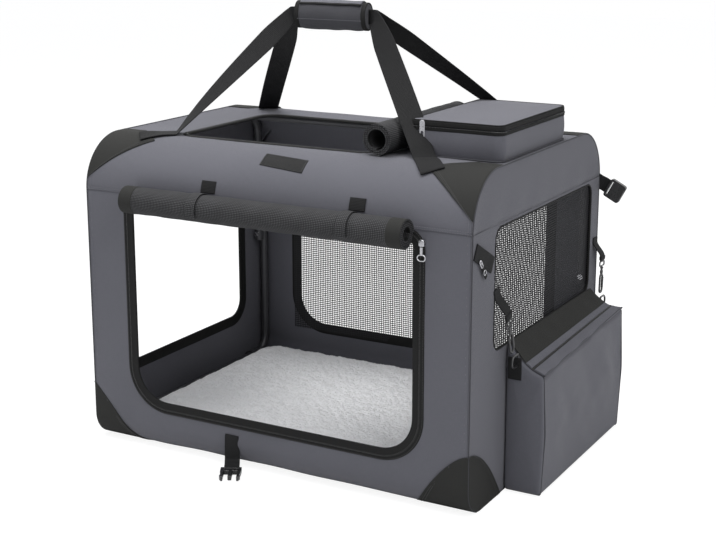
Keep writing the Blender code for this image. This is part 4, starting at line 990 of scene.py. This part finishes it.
# %% Ties
def tie(x):
    """An arc round the front roll at one x, with its outward normals."""
    angle = np.radians(np.linspace(50, 205, 60))
    ring = np.array([FRONT_ROLL[1], ROLL_Z]) + (FRONT_R + 0.0004) * stack(np.cos(angle), np.sin(angle))
    line = even(ring, 90, closed=False)
    run = np.gradient(line, axis=0)
    return stack(x, line[:, 0], line[:, 1]), -unit(stack(0, run[:, 1], -run[:, 0]))


for x, name in zip(TIES, ("left", "right")):
    path, normal = tie(x)
    band = carry(path, normal, oval(0.018, 0.0010, 14, 0.35), closed=False)
    # The tie bands share the rolled mesh look and its painted highlights.
    piece(f"front_tie_{name}_band", band, mesh_roll_painted_glints, "roof", replaces=[f"front_tie_{name}"])
    path, normal = line_on(on_roof, stack(x + 0.0005, np.linspace(0.0365, 0.0170, 20)), 0.0012)
    tab = carry(path, normal, oval(0.027, 0.0017, 18, 0.2), closed=False)
    piece(f"front_tie_{name}_tab", tab, webbing, "roof")
print(len(made), "pieces so far")

# %% [markdown]
# ## Floor and fleece mat
# The floor is a stiffened cloth panel. The mat is a thin cushion with a deep
# curly pile: its edge is a quarter round, its middle is crowned, and short and
# long waves over each other make the curls.


# %% Floor and mat
def lofted(loops):
    """Closed loops one above another, closed by a small face at both ends."""
    points = np.stack(loops)
    return [grid(points, closed=True), lids(points)]


def slab(low, high, radius, z_low, z_high, edge, crown=0.0):
    """A rounded slab: loops shrink to its middle at the bottom, follow a half round edge
    and shrink again on a crowned top."""
    centre = (np.array(low) + np.array(high)) / 2
    base = rounded_path(low, high, (radius,) * 4, 200) - centre
    half = (z_high - z_low) / 2
    stations = [(share, 0.0, z_low) for share in (0.02, 0.5, 0.9)]
    for a in np.linspace(-math.pi / 2, math.pi / 2, 9):
        stations.append((1.0, edge * (1 - math.cos(a)), z_low + half + half * math.sin(a)))
    for share in (0.97, 0.9, 0.8, 0.65, 0.45, 0.25, 0.02):
        stations.append((share, edge, z_high + crown * (1 - share ** 3)))
    loops = []
    for share, inset, z in stations:
        flat = centre + base * (share * (1 - inset / np.abs(base).max(0)))
        loops.append(stack(*flat.T, z))
    return loops


floor_y = SIDE_Y - BASE_R - GAP
loops = slab((-INNER_X, -floor_y), (INNER_X, floor_y), 0.004, 0.0, 0.006, 0.002)
# The floor cloth is darkened grey, painted shade inside the crate.
piece("floor_cloth", lofted(loops), floor_painted_shade_grey, "base", sharp=50, replaces=["floor_panel"])

MAT_X, MAT_Y, MAT_UNDER = 0.315, 0.231, 0.0266
a, b = np.meshgrid(np.linspace(-1, 1, 330), np.linspace(-1, 1, 242), indexing="ij")
corner = 0.030
flat_x, flat_y = MAT_X - corner, MAT_Y - corner
qx, qy = np.abs(a) * MAT_X - flat_x, np.abs(b) * MAT_Y - flat_y
inside = (qx > 0) & (qy > 0)
pull = np.where(inside, np.maximum(qx, qy) / np.maximum(np.hypot(qx, qy), 1e-9), 1)
x = np.sign(a) * (flat_x + np.where(inside, qx * pull, qx))
y = np.sign(b) * (flat_y + np.where(inside, qy * pull, qy))
dx, dy = np.abs(x) - flat_x, np.abs(y) - flat_y
gap = corner - np.minimum(np.maximum(dx, dy), 0) - np.hypot(np.maximum(dx, 0), np.maximum(dy, 0))
near = np.clip(gap / 0.012, 0, 1)
height = 0.0105 * np.sqrt(1 - (1 - near) ** 2) + 0.006 * (1 - np.exp(-gap / 0.06))
curl = 1 - np.abs(soft(x, y, 101, 0.011, 14)) * 1.3
clump = soft(x, y, 102, 0.035)
z = MAT_UNDER + height + near * (0.0017 * curl + 0.0012 * clump + 0.0008 * soft(x, y, 103, 0.006, 12))
top = stack(x, y, z)
rim = np.concatenate([top[:, 0], top[-1, 1:], top[-2::-1, -1], top[0, -2:0:-1]])
under = (rim, np.arange(len(rim))[None, :], None)
parts = [grid(top), under]
mat = piece("fleece_mat_pile", parts, fleece, "base", (0, 0, 0.03), replaces=["fleece_mat"])
print("mat top", round(float(z.max()), 4))

# %% [markdown]
# ## Roof pocket
# A soft box with a zipped lid. Its walls bulge a little, its cloth is uneven,
# and a black zip runs round just under the lid. The body is hollow, because the
# lid opens.


# %% Pocket
def softened(loops, seed, depth):
    """Loops whose points move out from their middle by soft hills."""
    points = np.stack(loops)
    middle = points.mean((0, 1))
    out = points - middle
    out[..., 2] = 0
    out /= np.linalg.norm(out, axis=-1, keepdims=True) + 1e-6
    run = np.linspace(0, 1, points.shape[1], endpoint=False)
    hills = soft(np.cos(run * TAU) * 0.12 + points[..., 2], np.sin(run * TAU) * 0.12, seed, 0.07)
    return points + out * (hills * depth)[..., None]


POCKET_LOW, POCKET_HIGH, POCKET_RADII = (0.190, -0.145), (0.342, 0.110), (0.012,) * 4
POCKET_Z, POCKET_TALL = TOP + GAP, 0.046
POCKET_TOP = POCKET_Z + POCKET_TALL
middle = (np.array(POCKET_LOW) + np.array(POCKET_HIGH)) / 2
stations = [(0.02, 0, 0.0), (0.6, 0, 0.0), (0.97, 0, 0.0)]
stations += [
    (1, -0.0022 * math.sin(math.pi * t) + 0.0015 * (1 - t) ** 6, POCKET_TALL * t)
    for t in np.linspace(0.01, 1, 16)
]
stations += [(1, 0.0015, POCKET_TALL), (1, 0.003, 0.0455), (1, 0.003, 0.020), (1, 0.003, 0.004)]
stations += [(0.9, 0.003, 0.003), (0.5, 0.003, 0.003), (0.02, 0.003, 0.003)]
loops = []
for share, inset, z in stations:
    outline = rounded_path(*grown(POCKET_LOW, POCKET_HIGH, POCKET_RADII, -inset), 220)
    loops.append(stack(*(middle + (outline - middle) * share).T, POCKET_Z + z))
body = softened(loops, 111, 0.0004)
body[..., 2] = np.maximum(body[..., 2], POCKET_Z)
piece("pocket_cloth", lofted(list(body)), grey, "roof", sharp=60, replaces=["pocket_body"])

LID_Z = POCKET_TOP + GAP
lid_loops = slab(POCKET_LOW, POCKET_HIGH, 0.012, LID_Z, LID_Z + 0.0095, 0.003, 0.0036)
piece("pocket_lid_cloth", lofted(lid_loops), grey, "pocket_lid", sharp=60, replaces=["pocket_lid"])


def rim_line(out, z):
    """A level line round the pocket, with normals that point out from it."""
    inner, flat = (
        rounded_path(*grown(POCKET_LOW, POCKET_HIGH, POCKET_RADII, reach_out), 220)
        for reach_out in (out - 0.001, out)
    )
    return stack(*flat.T, z), unit(stack(*((flat - inner) / 0.001).T, 0))


for name, out, z, profile, look, body in (
    ("zip_tape", 0.0008, POCKET_TOP - 0.0030, oval(0.0056, 0.0020, 12), binding, "roof"),
    ("lid_rim", 0.0004, LID_Z + 0.0042, oval(0.0072, 0.0020, 12), binding, "pocket_lid"),
    ("zip_teeth", 0.0018, POCKET_TOP - 0.0006, None, teeth, "roof"),
    ("lid_piping", -0.0004, LID_Z + 0.0088, oval(0.0024, 0.0024, 8, 1.0), binding, "pocket_lid"),
    ("foot_piping", 0.0012, POCKET_Z + 0.0015, oval(0.0026, 0.0026, 8, 1.0), piping, "roof"),
):
    line = rim_line(out, z)
    parts = repeated(*line, **ZIP_TOOTH) if profile is None else carry(*line, profile)
    piece(f"pocket_{name}", parts, look, body)

# %% [markdown]
# ## Padded grip and its straps
# The straps are sewn aslant over the roof's bend, then lift off and turn on edge
# up to the grip. The free stretch is a straight line to the grip plus a lift of
# share times the square of what is left.


# %% Handle
GRIP = np.array([0, -0.050, 0.718])
GRIP_HALF = 0.066
STRAP_WIDE, STRAP_NARROW = 0.037, 0.024
STRAP_FEET = {
    (-1, -1): ((-0.286, 0.112), (-0.238, 0.150)), (1, -1): ((0.263, 0.095), (0.226, 0.142)),
    (-1, 1): ((-0.286, 0.100), (-0.266, 0.145)), (1, 1): ((0.268, 0.100), (0.250, 0.145)),
}


def strap_route(end, side):
    """Points, widths and width directions of one strap: sewn aslant over the roof's bend
    between two places on the cloth, then nearly straight up to the grip."""
    (low_x, low_s), (high_x, high_s) = STRAP_FEET[end, side]
    step = np.linspace(0, 1, 14)
    s = low_s + (high_s - low_s) * step
    flat = stack(low_x + (high_x - low_x) * step, s if side < 0 else ROOF_RUN - s)
    sewn, out = line_on(on_roof, flat, 0.0028)
    stop = GRIP + np.array([end * (GRIP_HALF + GAP), side * 0.0015, 0])
    join = stop + np.array([end * 0.010, 0, 0])
    share = np.linspace(0, 1, 40)[1:, None]
    free = sewn[-1] + (join - sewn[-1]) * share + np.array([0, 0, 0.022]) * share * (1 - share) ** 2
    path = np.concatenate([sewn, free, stop[None]])
    neck = np.clip((share[:, 0] - 0.80) / 0.20, 0, 1)
    narrowing = STRAP_WIDE - 0.013 * neck ** 1.3
    widths = np.concatenate([np.full(14, STRAP_WIDE), narrowing, [STRAP_NARROW]])
    lean = np.arctan2(np.abs(out[:, 1]), out[:, 2])
    rising = lean[-1] + (math.pi / 2 - lean[-1]) * share[:, 0]
    tilt = np.concatenate([lean, rising, [math.pi / 2]])
    outward = stack(0, side * np.sin(tilt), np.cos(tilt))
    run = np.gradient(path, axis=0)
    run = np.concatenate([run[:1], (run[:-2] + run[1:-1] + run[2:]) / 3, run[-1:]])
    return path, widths, unit(np.cross(unit(np.cross(outward, run)), run))


for end, end_name in ENDS:
    for side, side_name in SIDES:
        name = f"handle_strap_{side_name}_{end_name}"
        path, widths, normal = strap_route(end, side)
        parts = carry(path, normal, oval(1.0, 0.0020, 18, 0.3), False, wide=widths)
        strap = shaped(f"{name}_webbing", parts, webbing)
        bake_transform(strap)
        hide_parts(name)


def round_grip(x, a, deep, tall, size=1.0):
    """Points on ovals about the grip's axis, at angles from straight back."""
    return stack(x, GRIP[1] + deep * np.cos(a) * size, GRIP[2] + tall * np.sin(a) * size)


def grip_rings():
    """Ovals along X whose size is drawn in towards both ends."""
    x = np.linspace(-GRIP_HALF, GRIP_HALF, 60)[:, None]
    a = np.linspace(0, TAU, 56, endpoint=False)
    draw_in = 1 - 0.16 * np.abs(x / GRIP_HALF) ** 6
    uneven = 1 + 0.028 * soft(x, a * 0.02, 121, 0.035)
    return round_grip(x, a, 0.0155, 0.0235, draw_in * uneven)


rings = grip_rings()
cap = [rings[0] * s + rings[0].mean(0) * (1 - s) for s in (0.05, 0.5, 0.85)]
cap_end = [rings[-1] * s + rings[-1].mean(0) * (1 - s) for s in (0.85, 0.5, 0.05)]
parts = lofted([*cap, *rings, *cap_end])
# The grip body wears the darkened grey, painted shade under its top fold.
grip = piece("grip_cloth", parts, grip_painted_shade_grey, "handle", sharp=60, replaces=["handle_grip"])
x = np.linspace(-GRIP_HALF + 0.009, GRIP_HALF - 0.009, 50)[:, None]
FOLD_START, FOLD_END = math.radians(12), math.radians(130)
a = np.linspace(FOLD_START, FOLD_END, 40)
fold = round_grip(x, a, 0.0168, 0.0248, 1 + 0.02 * soft(x, a * 0.02, 123, 0.03))
piece("grip_top_fold", [grid(fold)], grey, "handle", GRIP, thick=0.0012)
edge = fold[:, -1]
outward = facing((0, math.cos(FOLD_END), math.sin(FOLD_END)), edge)
edge_tape = carry(edge, outward, oval(0.0040, 0.0022, 10), closed=False)
piece("grip_fold_tape", edge_tape, binding, "handle")
a = np.linspace(0, TAU, 60, endpoint=False)
out = stack(0, np.cos(a), np.sin(a))
for n, at in enumerate((-GRIP_HALF + 0.004, GRIP_HALF - 0.004)):
    band = carry(round_grip(at, a, 0.0142, 0.0218), out, oval(0.0080, 0.0016, 10))
    piece(f"grip_end_band_{n}", band, binding, "handle")
x = np.linspace(-GRIP_HALF + 0.008, GRIP_HALF - 0.008, 60)
seam = stack(x, GRIP[1] - 0.0156, GRIP[2] - 0.006)
row = repeated(seam, facing((0, -1, 0), seam), closed=False, **STITCH)
piece("grip_stitches", row, thread, "handle")
print(len(made), "pieces so far")

# %% [markdown]
# ## Storage bag
# The bag is a hollow shell: one rounded outline carried along Y, drawn in at
# both ends, with a mouth cut in its sloping top. The top dips in the middle, and
# its outer edge rises to the rear. The outer side sags in soft hills while the
# side against the crate stays flat.

# %% Bag
BAG_NEAR, BAG_FAR = 0.3518, 0.4118
BAG_FRONT, BAG_REAR = -0.130, 0.230
BAG_ENDS = ((-1, "front", BAG_FRONT), (1, "rear", BAG_REAR))
slope_foot, slope_head = np.array([BAG_FAR, 0.195]), np.array([BAG_NEAR, 0.243])
slope_up = slope_head - slope_foot
slope_out = np.array([slope_up[1], -slope_up[0]]) / np.linalg.norm(slope_up)
BAG_RISE, BAG_DIP = 0.020, 0.009


def settled(points):
    """The hanging bag's own sag: the outer edge rises with y, and the slope dips by the
    sine of the share of the way up it. Both fade towards the floor."""
    x, y, z = points[..., 0], points[..., 1], points[..., 2]
    share = np.clip((BAG_FAR - x) / (BAG_FAR - BAG_NEAR), 0, 1)
    up = np.clip(z / slope_foot[1], 0, 1)
    rise = BAG_RISE * np.clip((y - BAG_FRONT) / (BAG_REAR - BAG_FRONT), 0, 1) * (1 - share) * up
    dip = BAG_DIP * np.sin(math.pi * share) * up ** 6
    return stack(x, y, z + rise - dip)


def bent_corners(points, cut):
    """Each corner becomes a curve: a quadratic mix of the corner and the points one cut
    length before and after it."""
    points, line = np.array(points, float), []
    for n, corner in enumerate(points):
        before, after = points[n - 1] - corner, points[(n + 1) % len(points)] - corner
        first = corner + before / np.linalg.norm(before) * cut
        last = corner + after / np.linalg.norm(after) * cut
        t = np.linspace(0, 1, 8)[:, None]
        line.append(first * (1 - t) ** 2 + corner * 2 * t * (1 - t) + last * t ** 2)
    return np.concatenate(line)


bends = [(BAG_NEAR, 0.001), (BAG_FAR, 0.001), (BAG_FAR + 0.004, 0.098), slope_foot, slope_head]
outline = even(bent_corners(bends, 0.007), 190)
core = outline.mean(0)
caps_in = [(s, -0.0035 * (1 - s ** 2)) for s in (0.03, 0.3, 0.6, 0.85, 0.955)]
round_in = [
    (1 - 0.045 * (1 - math.sin(t)), 0.010 * (1 - math.cos(t))) for t in np.linspace(0.15, math.pi / 2, 7)
]
stations = [(s, BAG_FRONT + d) for s, d in caps_in + round_in]
stations += [(1.0, y) for y in np.linspace(BAG_FRONT + 0.014, BAG_REAR - 0.014, 84)]
stations += [(s, BAG_REAR - d) for s, d in (caps_in + round_in)[::-1]]
scale, place_y = np.array(stations).T
flat = core + (outline - core)[None] * scale[:, None, None]
x, z = flat[..., 0], flat[..., 1]
y = place_y[:, None] * np.ones_like(x)
away_share = np.clip((x - BAG_NEAR) / 0.025, 0, 1) * np.clip((z - 0.003) / 0.02, 0, 1)
hills = (soft(y, z, 131, 0.13) * 0.0030 + soft(y + z, z - x, 132, 0.05) * 0.0008) * away_share
out = unit(outline - core)
middle_y = np.clip((0.18 - np.abs(y - 0.05)) / 0.05, 0, 1)
x = x + out[None, :, 0] * hills * middle_y
z = z + out[None, :, 1] * hills * middle_y * 0.4
bag_points = settled(stack(x, y, z))
FLAP, ZIP, STRIP = 0.30, 0.36, 0.52


def off_mouth(middle):
    """True outside the mouth, which lies under the flap."""
    share = (BAG_FAR - middle[:, 0]) / (BAG_FAR - BAG_NEAR)
    within = (share > 0.06) & (share < FLAP - 0.03) & (middle[:, 2] > slope_foot[1] - 0.006)
    return ~(within & (middle[:, 1] > BAG_FRONT + 0.018) & (middle[:, 1] < BAG_REAR - 0.018))


bag_parts = [grid(bag_points, closed=True, keep=off_mouth), lids(bag_points)]
piece("bag_cloth", bag_parts, grey, "bag", thick=0.0018, replaces=["bag_body"])


def on_slope(flat, lift=0.0):
    """The bag's top from y and u, the share of the way up its slope."""
    xz = slope_foot + flat[..., 1:2] * slope_up
    top = settled(stack(xz[..., 0], flat[..., 0], xz[..., 1]))
    return top + np.asarray(lift)[..., None] * np.array([slope_out[0], 0, slope_out[1]])


def strip(low, high, lift, seed, hill=0.0):
    """A strip of the bag's top between two shares of its slope, uneven between its seams."""
    y = np.linspace(BAG_FRONT + 0.005, BAG_REAR - 0.005, 120)[:, None]
    u = np.linspace(low, high, 22)
    rest = np.sin(math.pi * (u - low) / (high - low))
    raised = lift + (soft(y, u * 0.07, seed, 0.06) + 0.6) * hill * rest
    return [grid(on_slope(stack(y, u), raised), stack(y, u * 0.077))]


inside_bag = (0.38, 0.05, 0.1)
for name, parts, look, thick in (
    ("bag_top_band", strip(STRIP, 0.985, 0.0017, 141, 0.0007), black, 0.0013),
    ("bag_top_strip", strip(ZIP, STRIP, 0.0013, 142, 0.0008), grey, 0.0009),
    ("bag_zip_tape", strip(FLAP, ZIP, 0.0006, 143), binding, 0.0005),
):
    piece(name, parts, look, "bag", inside_bag, thick=thick)
parts = strip(0.0, FLAP, GAP + 0.0024, 144, 0.0012)
piece("bag_flap_cloth", parts, grey, "bag_flap", inside_bag, thick=0.0018, replaces=["bag_flap"])
y = np.linspace(BAG_FRONT + 0.004, BAG_REAR - 0.004, 120)
row = stack(y, (FLAP + ZIP) / 2)
sewn_row("bag_zip_teeth", on_slope, row, 0.0010, teeth, "bag", closed=False, shape=ZIP_TOOTH)


def bag_welt(y_at):
    """The cord round one end of the bag: its outline, moved in from the end."""
    path = stack(outline[:, 0], y_at, outline[:, 1])
    spoke = path - np.array([core[0], y_at, core[1]])
    near = path[:, 0] < BAG_NEAR + 0.004
    path[:, 0] = np.where(near, BAG_NEAR + 0.0015, path[:, 0])
    path[:, 2] = np.maximum(path[:, 2], 0.0022)
    return carry(settled(path), unit(spoke), oval(0.0024, 0.0024, 8, 1.0))


for side, name, at in BAG_ENDS:
    piece(f"bag_{name}_piping", bag_welt(at - side * 0.005), piping, "bag")
for n, z in enumerate((0.1865, 0.1905)):
    path = stack(BAG_FAR + 0.0006, y, z)
    row = repeated(settled(path), facing((1, 0, 0), y), closed=False, **STITCH)
    piece(f"bag_top_stitches_{n}", row, thread, "bag")
path = settled(stack(BAG_FAR + 0.0002, y, 0.1962))
welt = carry(path, facing((0.7, 0, 0.7), y), oval(0.0030, 0.0030, 8, 1.0), closed=False)
piece("bag_top_piping", welt, piping, "bag")
for side, name, at in BAG_ENDS:
    path = stack(END_X + 0.0165, at + side * 0.0034, np.linspace(0.186, 0.221, 14))
    tab = carry(path, facing((0, side, 0), path), oval(0.022, 0.0018, 18, 0.25), closed=False)
    piece(f"bag_{name}_ring_tab", tab, webbing, "bag")
print(len(made), "pieces so far")

# %% [markdown]
# ## Strap clips
# Webbing hangs from the end wall. A ring joins it to a swivelling snap hook,
# which clips into the bag's D ring. Wire parts are a round profile carried
# along their centre line.


# %% Strap clips
OUT = (1, 0, 0)


def chain_frame(start, tilt_deg, x):
    """A function from sideways, outwards and along distances to points of a hanging chain."""
    t = math.radians(tilt_deg)
    origin = np.array([x, start[0], start[1]])
    down = np.array([0, math.sin(t), -math.cos(t)])
    across = np.array([0, math.cos(t), math.sin(t)])

    def at(side, along, out=0.0):
        """Points of this chain."""
        side, along, out = np.broadcast_arrays(side, along, out)
        place = origin + side[..., None] * across + along[..., None] * down
        return place + out[..., None] * np.array(OUT)
    return at


def wire(path, thick, out=OUT, closed=True):
    """Round wire along a path that lies in one plane with the normal `out`."""
    return carry(path, facing(out, path), oval(thick, thick, 10, 1.0), closed)


def clip_strap(name, start, tilt_deg, length):
    """Flat against the wall, then out to the hook's plane."""
    near, far, share = END_X + GAP + 0.001, END_X + 0.016, 0.18
    at = chain_frame(start, tilt_deg, 0)
    run = np.linspace(0, length, 40)
    lean = np.clip((run / length - share) / (1 - 2 * share), 0, 1)
    lean = lean * lean * (3 - 2 * lean)
    path = at(0.0, run, near + (far - near) * lean)
    across = at(1.0, 0.0) - at(0.0, 0.0)
    normal = unit(np.cross(np.gradient(path, axis=0), across))
    strap = carry(path, normal, oval(0.020, 0.0021, 18, 0.3), closed=False)
    piece(f"{name}_clip_webbing", strap, webbing, "side_straps", replaces=[f"{name}_clip_strap"])
    loop = carry(path[-9:-2], normal[-9:-2], oval(0.0206, 0.0052, 18, 0.4), closed=False)
    piece(f"{name}_clip_webbing_end", loop, webbing, "side_straps")


def hook_and_ring(name, start, tilt_deg, length):
    """A ring, then a hook: a turned neck, a wire loop, the gate in it and its lever."""
    at = chain_frame(start, tilt_deg, END_X + 0.016)
    top = length + GAP
    ring = rounded_path((-0.0108, 0.0012), (0.0108, 0.0088), (0.0025,) * 4, 60)
    path = at(ring[:, 0], top + ring[:, 1])
    node = f"{name}_strap_ring"
    piece(f"{name}_ring_wire", wire(path, 0.0026), plastic, "side_straps", replaces=[node])
    top += 0.010 + GAP
    run = np.array([0.0, 0.0006, 0.003, 0.0034, 0.0070, 0.0074, 0.0115, 0.0135])
    size = np.array([0.30, 0.95, 1.0, 0.72, 0.72, 1.0, 0.95, 0.60]) * 0.0042
    a = np.linspace(0, TAU, 20, endpoint=False)
    neck = np.stack([at(r * np.cos(a), top + h, r * np.sin(a) * 0.62) for r, h in zip(size, run)])
    loop = rounded_path((-0.0062, 0.0137), (0.0062, 0.0462), (0.0060,) * 4, 90)
    path = at(loop[:, 0], top + loop[:, 1])
    gate = at(np.full(12, 0.0062), top + np.linspace(0.020, 0.038, 12))
    lever = at(np.linspace(0.0066, 0.0100, 6), top + np.linspace(0.0235, 0.0215, 6))
    parts = lofted(list(neck)) + wire(path, 0.0035) + wire(gate, 0.0042, closed=False)
    parts += wire(lever, 0.0024, closed=False)
    piece(f"{name}_hook_body", parts, plastic, f"{name}_hook", sharp=45, replaces=[f"{name}_snap_hook"])


# Each chain has its upper end's y and z, its slant in degrees and its strap's length.
CHAINS = {"front": ((-0.174, 0.337), 16.2, 0.052), "rear": ((0.2485, 0.3284), -3.0, 0.039)}
for name, chain in CHAINS.items():
    clip_strap(name, *chain)
    hook_and_ring(name, *chain)


def d_ring_path(side, start):
    """A D: its straight side against the bag, its round side away from it."""
    near, far = start + side * (GAP + 0.0018), start + side * (GAP + 0.0242)
    low, high = sorted((near, far))
    radii = (0.009, 0.002, 0.002, 0.009) if side < 0 else (0.002, 0.009, 0.009, 0.002)
    flat = rounded_path((low, 0.2088), (high, 0.2272), radii, 80)
    return stack(END_X + 0.02075, flat[:, 0], flat[:, 1])


for side, name, start in BAG_ENDS:
    ring = wire(d_ring_path(side, start), 0.0034)
    piece(f"{name}_d_ring_wire", ring, plastic, "bag", replaces=[f"{name}_d_ring"])

tab_turn = math.radians(-28.0)
along = np.linspace(-0.0345, 0.0345, 40)
run_y, run_z = along * math.cos(tab_turn), along * math.sin(tab_turn)
path = stack(END_X + GAP + 0.001, -0.2215 + run_y, 0.3935 + run_z)
tab = carry(path, facing(OUT, path), oval(0.0255, 0.0020, 18, 0.3), closed=False)
piece("front_tab_webbing", tab, webbing, "base", replaces=["front_strap_tab"], folds="wall")

at = chain_frame((-0.2425, 0.3955), 38.0, END_X + GAP + 0.002 + GAP + 0.0015)
swivel = rounded_path((-0.0026, 0.0013), (0.0026, 0.0150), (0.0024,) * 4, 60)
ring = rounded_path((-0.0040, 0.0235), (0.0040, 0.0310), (0.0036,) * 4, 60)
bar = at(np.linspace(-0.0030, 0.0030, 8), np.full(8, 0.0075))
parts = wire(at(swivel[:, 0], swivel[:, 1]), 0.0020) + wire(bar, 0.0018, closed=False)
parts += wire(at(ring[:, 0], ring[:, 1], 0.0008), 0.0013)
piece("top_clip_wire", parts, bright, "side_straps", replaces=["front_top_clip"])
run = np.linspace(0.0135, 0.0385, 30)
path = at(np.zeros(30), run, -0.0002)
end_tab = carry(path, facing(OUT, path), oval(0.0072, 0.0016, 14, 0.3), closed=False)
piece("top_clip_end_tab", end_tab, webbing, "side_straps")

# %% [markdown]
# ## Closing straps and buckles
# The strap that holds the folded crate shut ends in a side release buckle. The
# buckle halves keep the CAD shapes, with their edges rounded by a bevel.


# %% Buckles and webbing
def rounded_copy(node, name, look, body, bevel):
    """The CAD node's own shape, merged and with its flat faces joined, with round edges."""
    mesh = nodes[node].data.copy()
    mesh.name = name
    shape = bmesh.new()
    shape.from_mesh(mesh)
    bmesh.ops.remove_doubles(shape, verts=shape.verts, dist=1e-5)
    bmesh.ops.dissolve_limit(shape, angle_limit=math.radians(4), verts=shape.verts, edges=shape.edges)
    shape.to_mesh(mesh)
    shape.free()
    mesh.materials.clear()
    mesh.materials.append(look.material)
    thing = link(name, mesh)
    edge = thing.modifiers.new("edges", "BEVEL")
    edge.width, edge.segments, edge.limit_method = bevel, 3, "ANGLE"
    edge.angle_limit = math.radians(35)
    mesh.shade_smooth()
    mesh.set_sharp_from_angle(angle=math.radians(35))
    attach(thing, body)
    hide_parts(node)
    made.append(name)


def closing_strap(name, path, across, body):
    """Flat webbing along a path, with its width along `across`."""
    normal = unit(np.cross(across, np.gradient(path, axis=0)))
    strap = carry(path, normal, oval(0.025, 0.0017, 18, 0.3), closed=False)
    piece(f"{name}_closing_webbing", strap, webbing, body, replaces=[f"{name}_closing_strap"])


rounded_copy("male_buckle", "male_buckle_moulding", plastic, "male_buckle", 0.0009)
rounded_copy("female_buckle", "female_buckle_moulding", plastic, "female_buckle", 0.0009)
rounded_copy("front_zip_slider", "front_slider_body", bright, "roof", 0.0008)
PULL_X, PULL_Y, PULL_Z = 0.271, -SIDE_Y - 0.0045, 0.411
eye = rounded_path((-0.0064, -0.0215), (0.0064, -0.0125), (0.0044,) * 4, 60)
ring = stack(PULL_X + eye[:, 0], PULL_Y, PULL_Z + eye[:, 1])
stem = stack(PULL_X, PULL_Y, PULL_Z - np.linspace(0.0010, 0.0130, 10))
parts = wire(ring, 0.0022, (0, -1, 0))
parts += carry(stem, facing((0, -1, 0), stem), oval(0.0044, 0.0018, 14, 0.4), closed=False)
piece("front_pull_ring", parts, bright, "front_pull", sharp=45, replaces=["front_zip_pull"])
rounded_copy("pocket_zip_pull", "pocket_pull_body", bright, "pocket_pull", 0.0004)

turn = math.radians(29)
ahead = np.array([math.sin(turn), -math.cos(turn), 0])
face = -SIDE_Y - GAP - 0.0008
foot = np.array([-0.070, face, 0.0055])
knots = [[-0.070, face, z] for z in (0.056, 0.030, 0.0155)]
knots += [foot + ahead * 0.005 + [0, 0, 0.0025], foot + ahead * 0.010, foot + ahead * 0.020]
path = even(np.array(knots), 40, closed=False)
weight = np.linspace(0, 1, 40)[:, None] ** 0.5
turned = np.array([math.cos(turn), math.sin(turn), 0])
closing_strap("front", path, np.array(OUT) * (1 - weight) + turned * weight, "base")

tilt = math.radians(62)
down = np.array([math.sin(tilt), 0, -math.cos(tilt)])
start = np.array([0.338, -face, 0.432])
run = np.linspace(0, 0.030, 30)
lean = np.clip((run / 0.030 - 0.5) * 4, 0, 1)
path = start + run[:, None] * down + lean[:, None] * np.array([0, 0.0032, 0])
closing_strap("back", path, np.array([math.cos(tilt), 0, math.sin(tilt)]), "roof")

# %% [markdown]
# ## Frame finish
# The tubes, rails and pins keep their CAD shapes and get paint or bright metal.

# %% Frame finish
for name, thing in nodes.items():
    if not thing.hide_render:
        look = bright if name.startswith("knee_pin") else paint
        thing.data.materials.clear()
        thing.data.materials.append(look.material)
print("CAD nodes shown:", sum(not t.hide_render for t in nodes.values()))

# %% [markdown]
# ## Floor, light and background
# A plain pale floor keeps a soft shadow, and glows for camera and transmission
# rays. The world is white for these and for glossy rays, and plain grey for the
# rest, so that the background's white doesn't light the crate. Lamps do.

# %% Stage
stage_look = Look("pale_floor", "fleece", (0.86, 0.86, 0.86), 0.9)
from_camera, _, through = stage_look.rays()
glow = stage_look.node("ShaderNodeEmission", sockets={"Color": (1, 1, 1, 1), "Strength": 1.22})
plain = Socket(stage_look, stage_look.shader.outputs[0])
sockets = {0: through.most(from_camera) * 0.72, 1: plain, 2: glow}
mixed = stage_look.node("ShaderNodeMixShader", sockets=sockets)
stage_look.join(mixed, stage_look.tree.nodes["Material Output"].inputs[0])
corners = stack(9.0 * np.array([-1, 1, 1, -1]), 9.0 * np.array([-1, -1, 1, 1]), -0.0005)
floor_mesh = mesh_from("pale_floor", [(corners, np.arange(4)[None, :], None)])
floor_mesh.materials.append(stage_look.material)
floor = link("pale_floor", floor_mesh)
floor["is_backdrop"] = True

world = bpy.data.worlds.new("studio")
bpy.context.scene.world = world
world.use_nodes = True
sky = Graph(world.node_tree)
from_camera, glossy, through = sky.rays()
tone = sky.mix(from_camera.most(glossy).most(through), (0.42, 0.43, 0.45), (1.0, 1.0, 1.0))
sky.join(tone, sky.tree.nodes["Background"].inputs["Color"])


def lamp(name, at, power, size):
    """A square soft lamp that looks at the crate's middle."""
    data = bpy.data.lights.new(name, "AREA")
    data.energy, data.size = power, size
    thing = link(name, data)
    thing.location = at
    thing.rotation_euler = (Vector(MIDDLE) - Vector(at)).to_track_quat("-Z", "Y").to_euler()


lamp("key", (2.2, -1.2, 2.6), 40, 1.6)
lamp("fill", (-1.8, -2.4, 1.6), 16, 2.2)
lamp("top", (-0.2, -0.3, 2.6), 58, 1.6)

# %% [markdown]
# ## Finish
# The dressed crate's box is printed, beside the CAD box printed after the import.
# The dressed crate has to stay within the CAD box and a little cloth.

# %% Finish
bpy.context.scene.view_settings.view_transform = "Standard"
low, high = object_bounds()
{"cad": [list(cad_low), list(cad_high)], "visual": [list(low), list(high)]}
print(len(made), "pieces; visual box", [round(v, 4) for v in (*low, *high)])
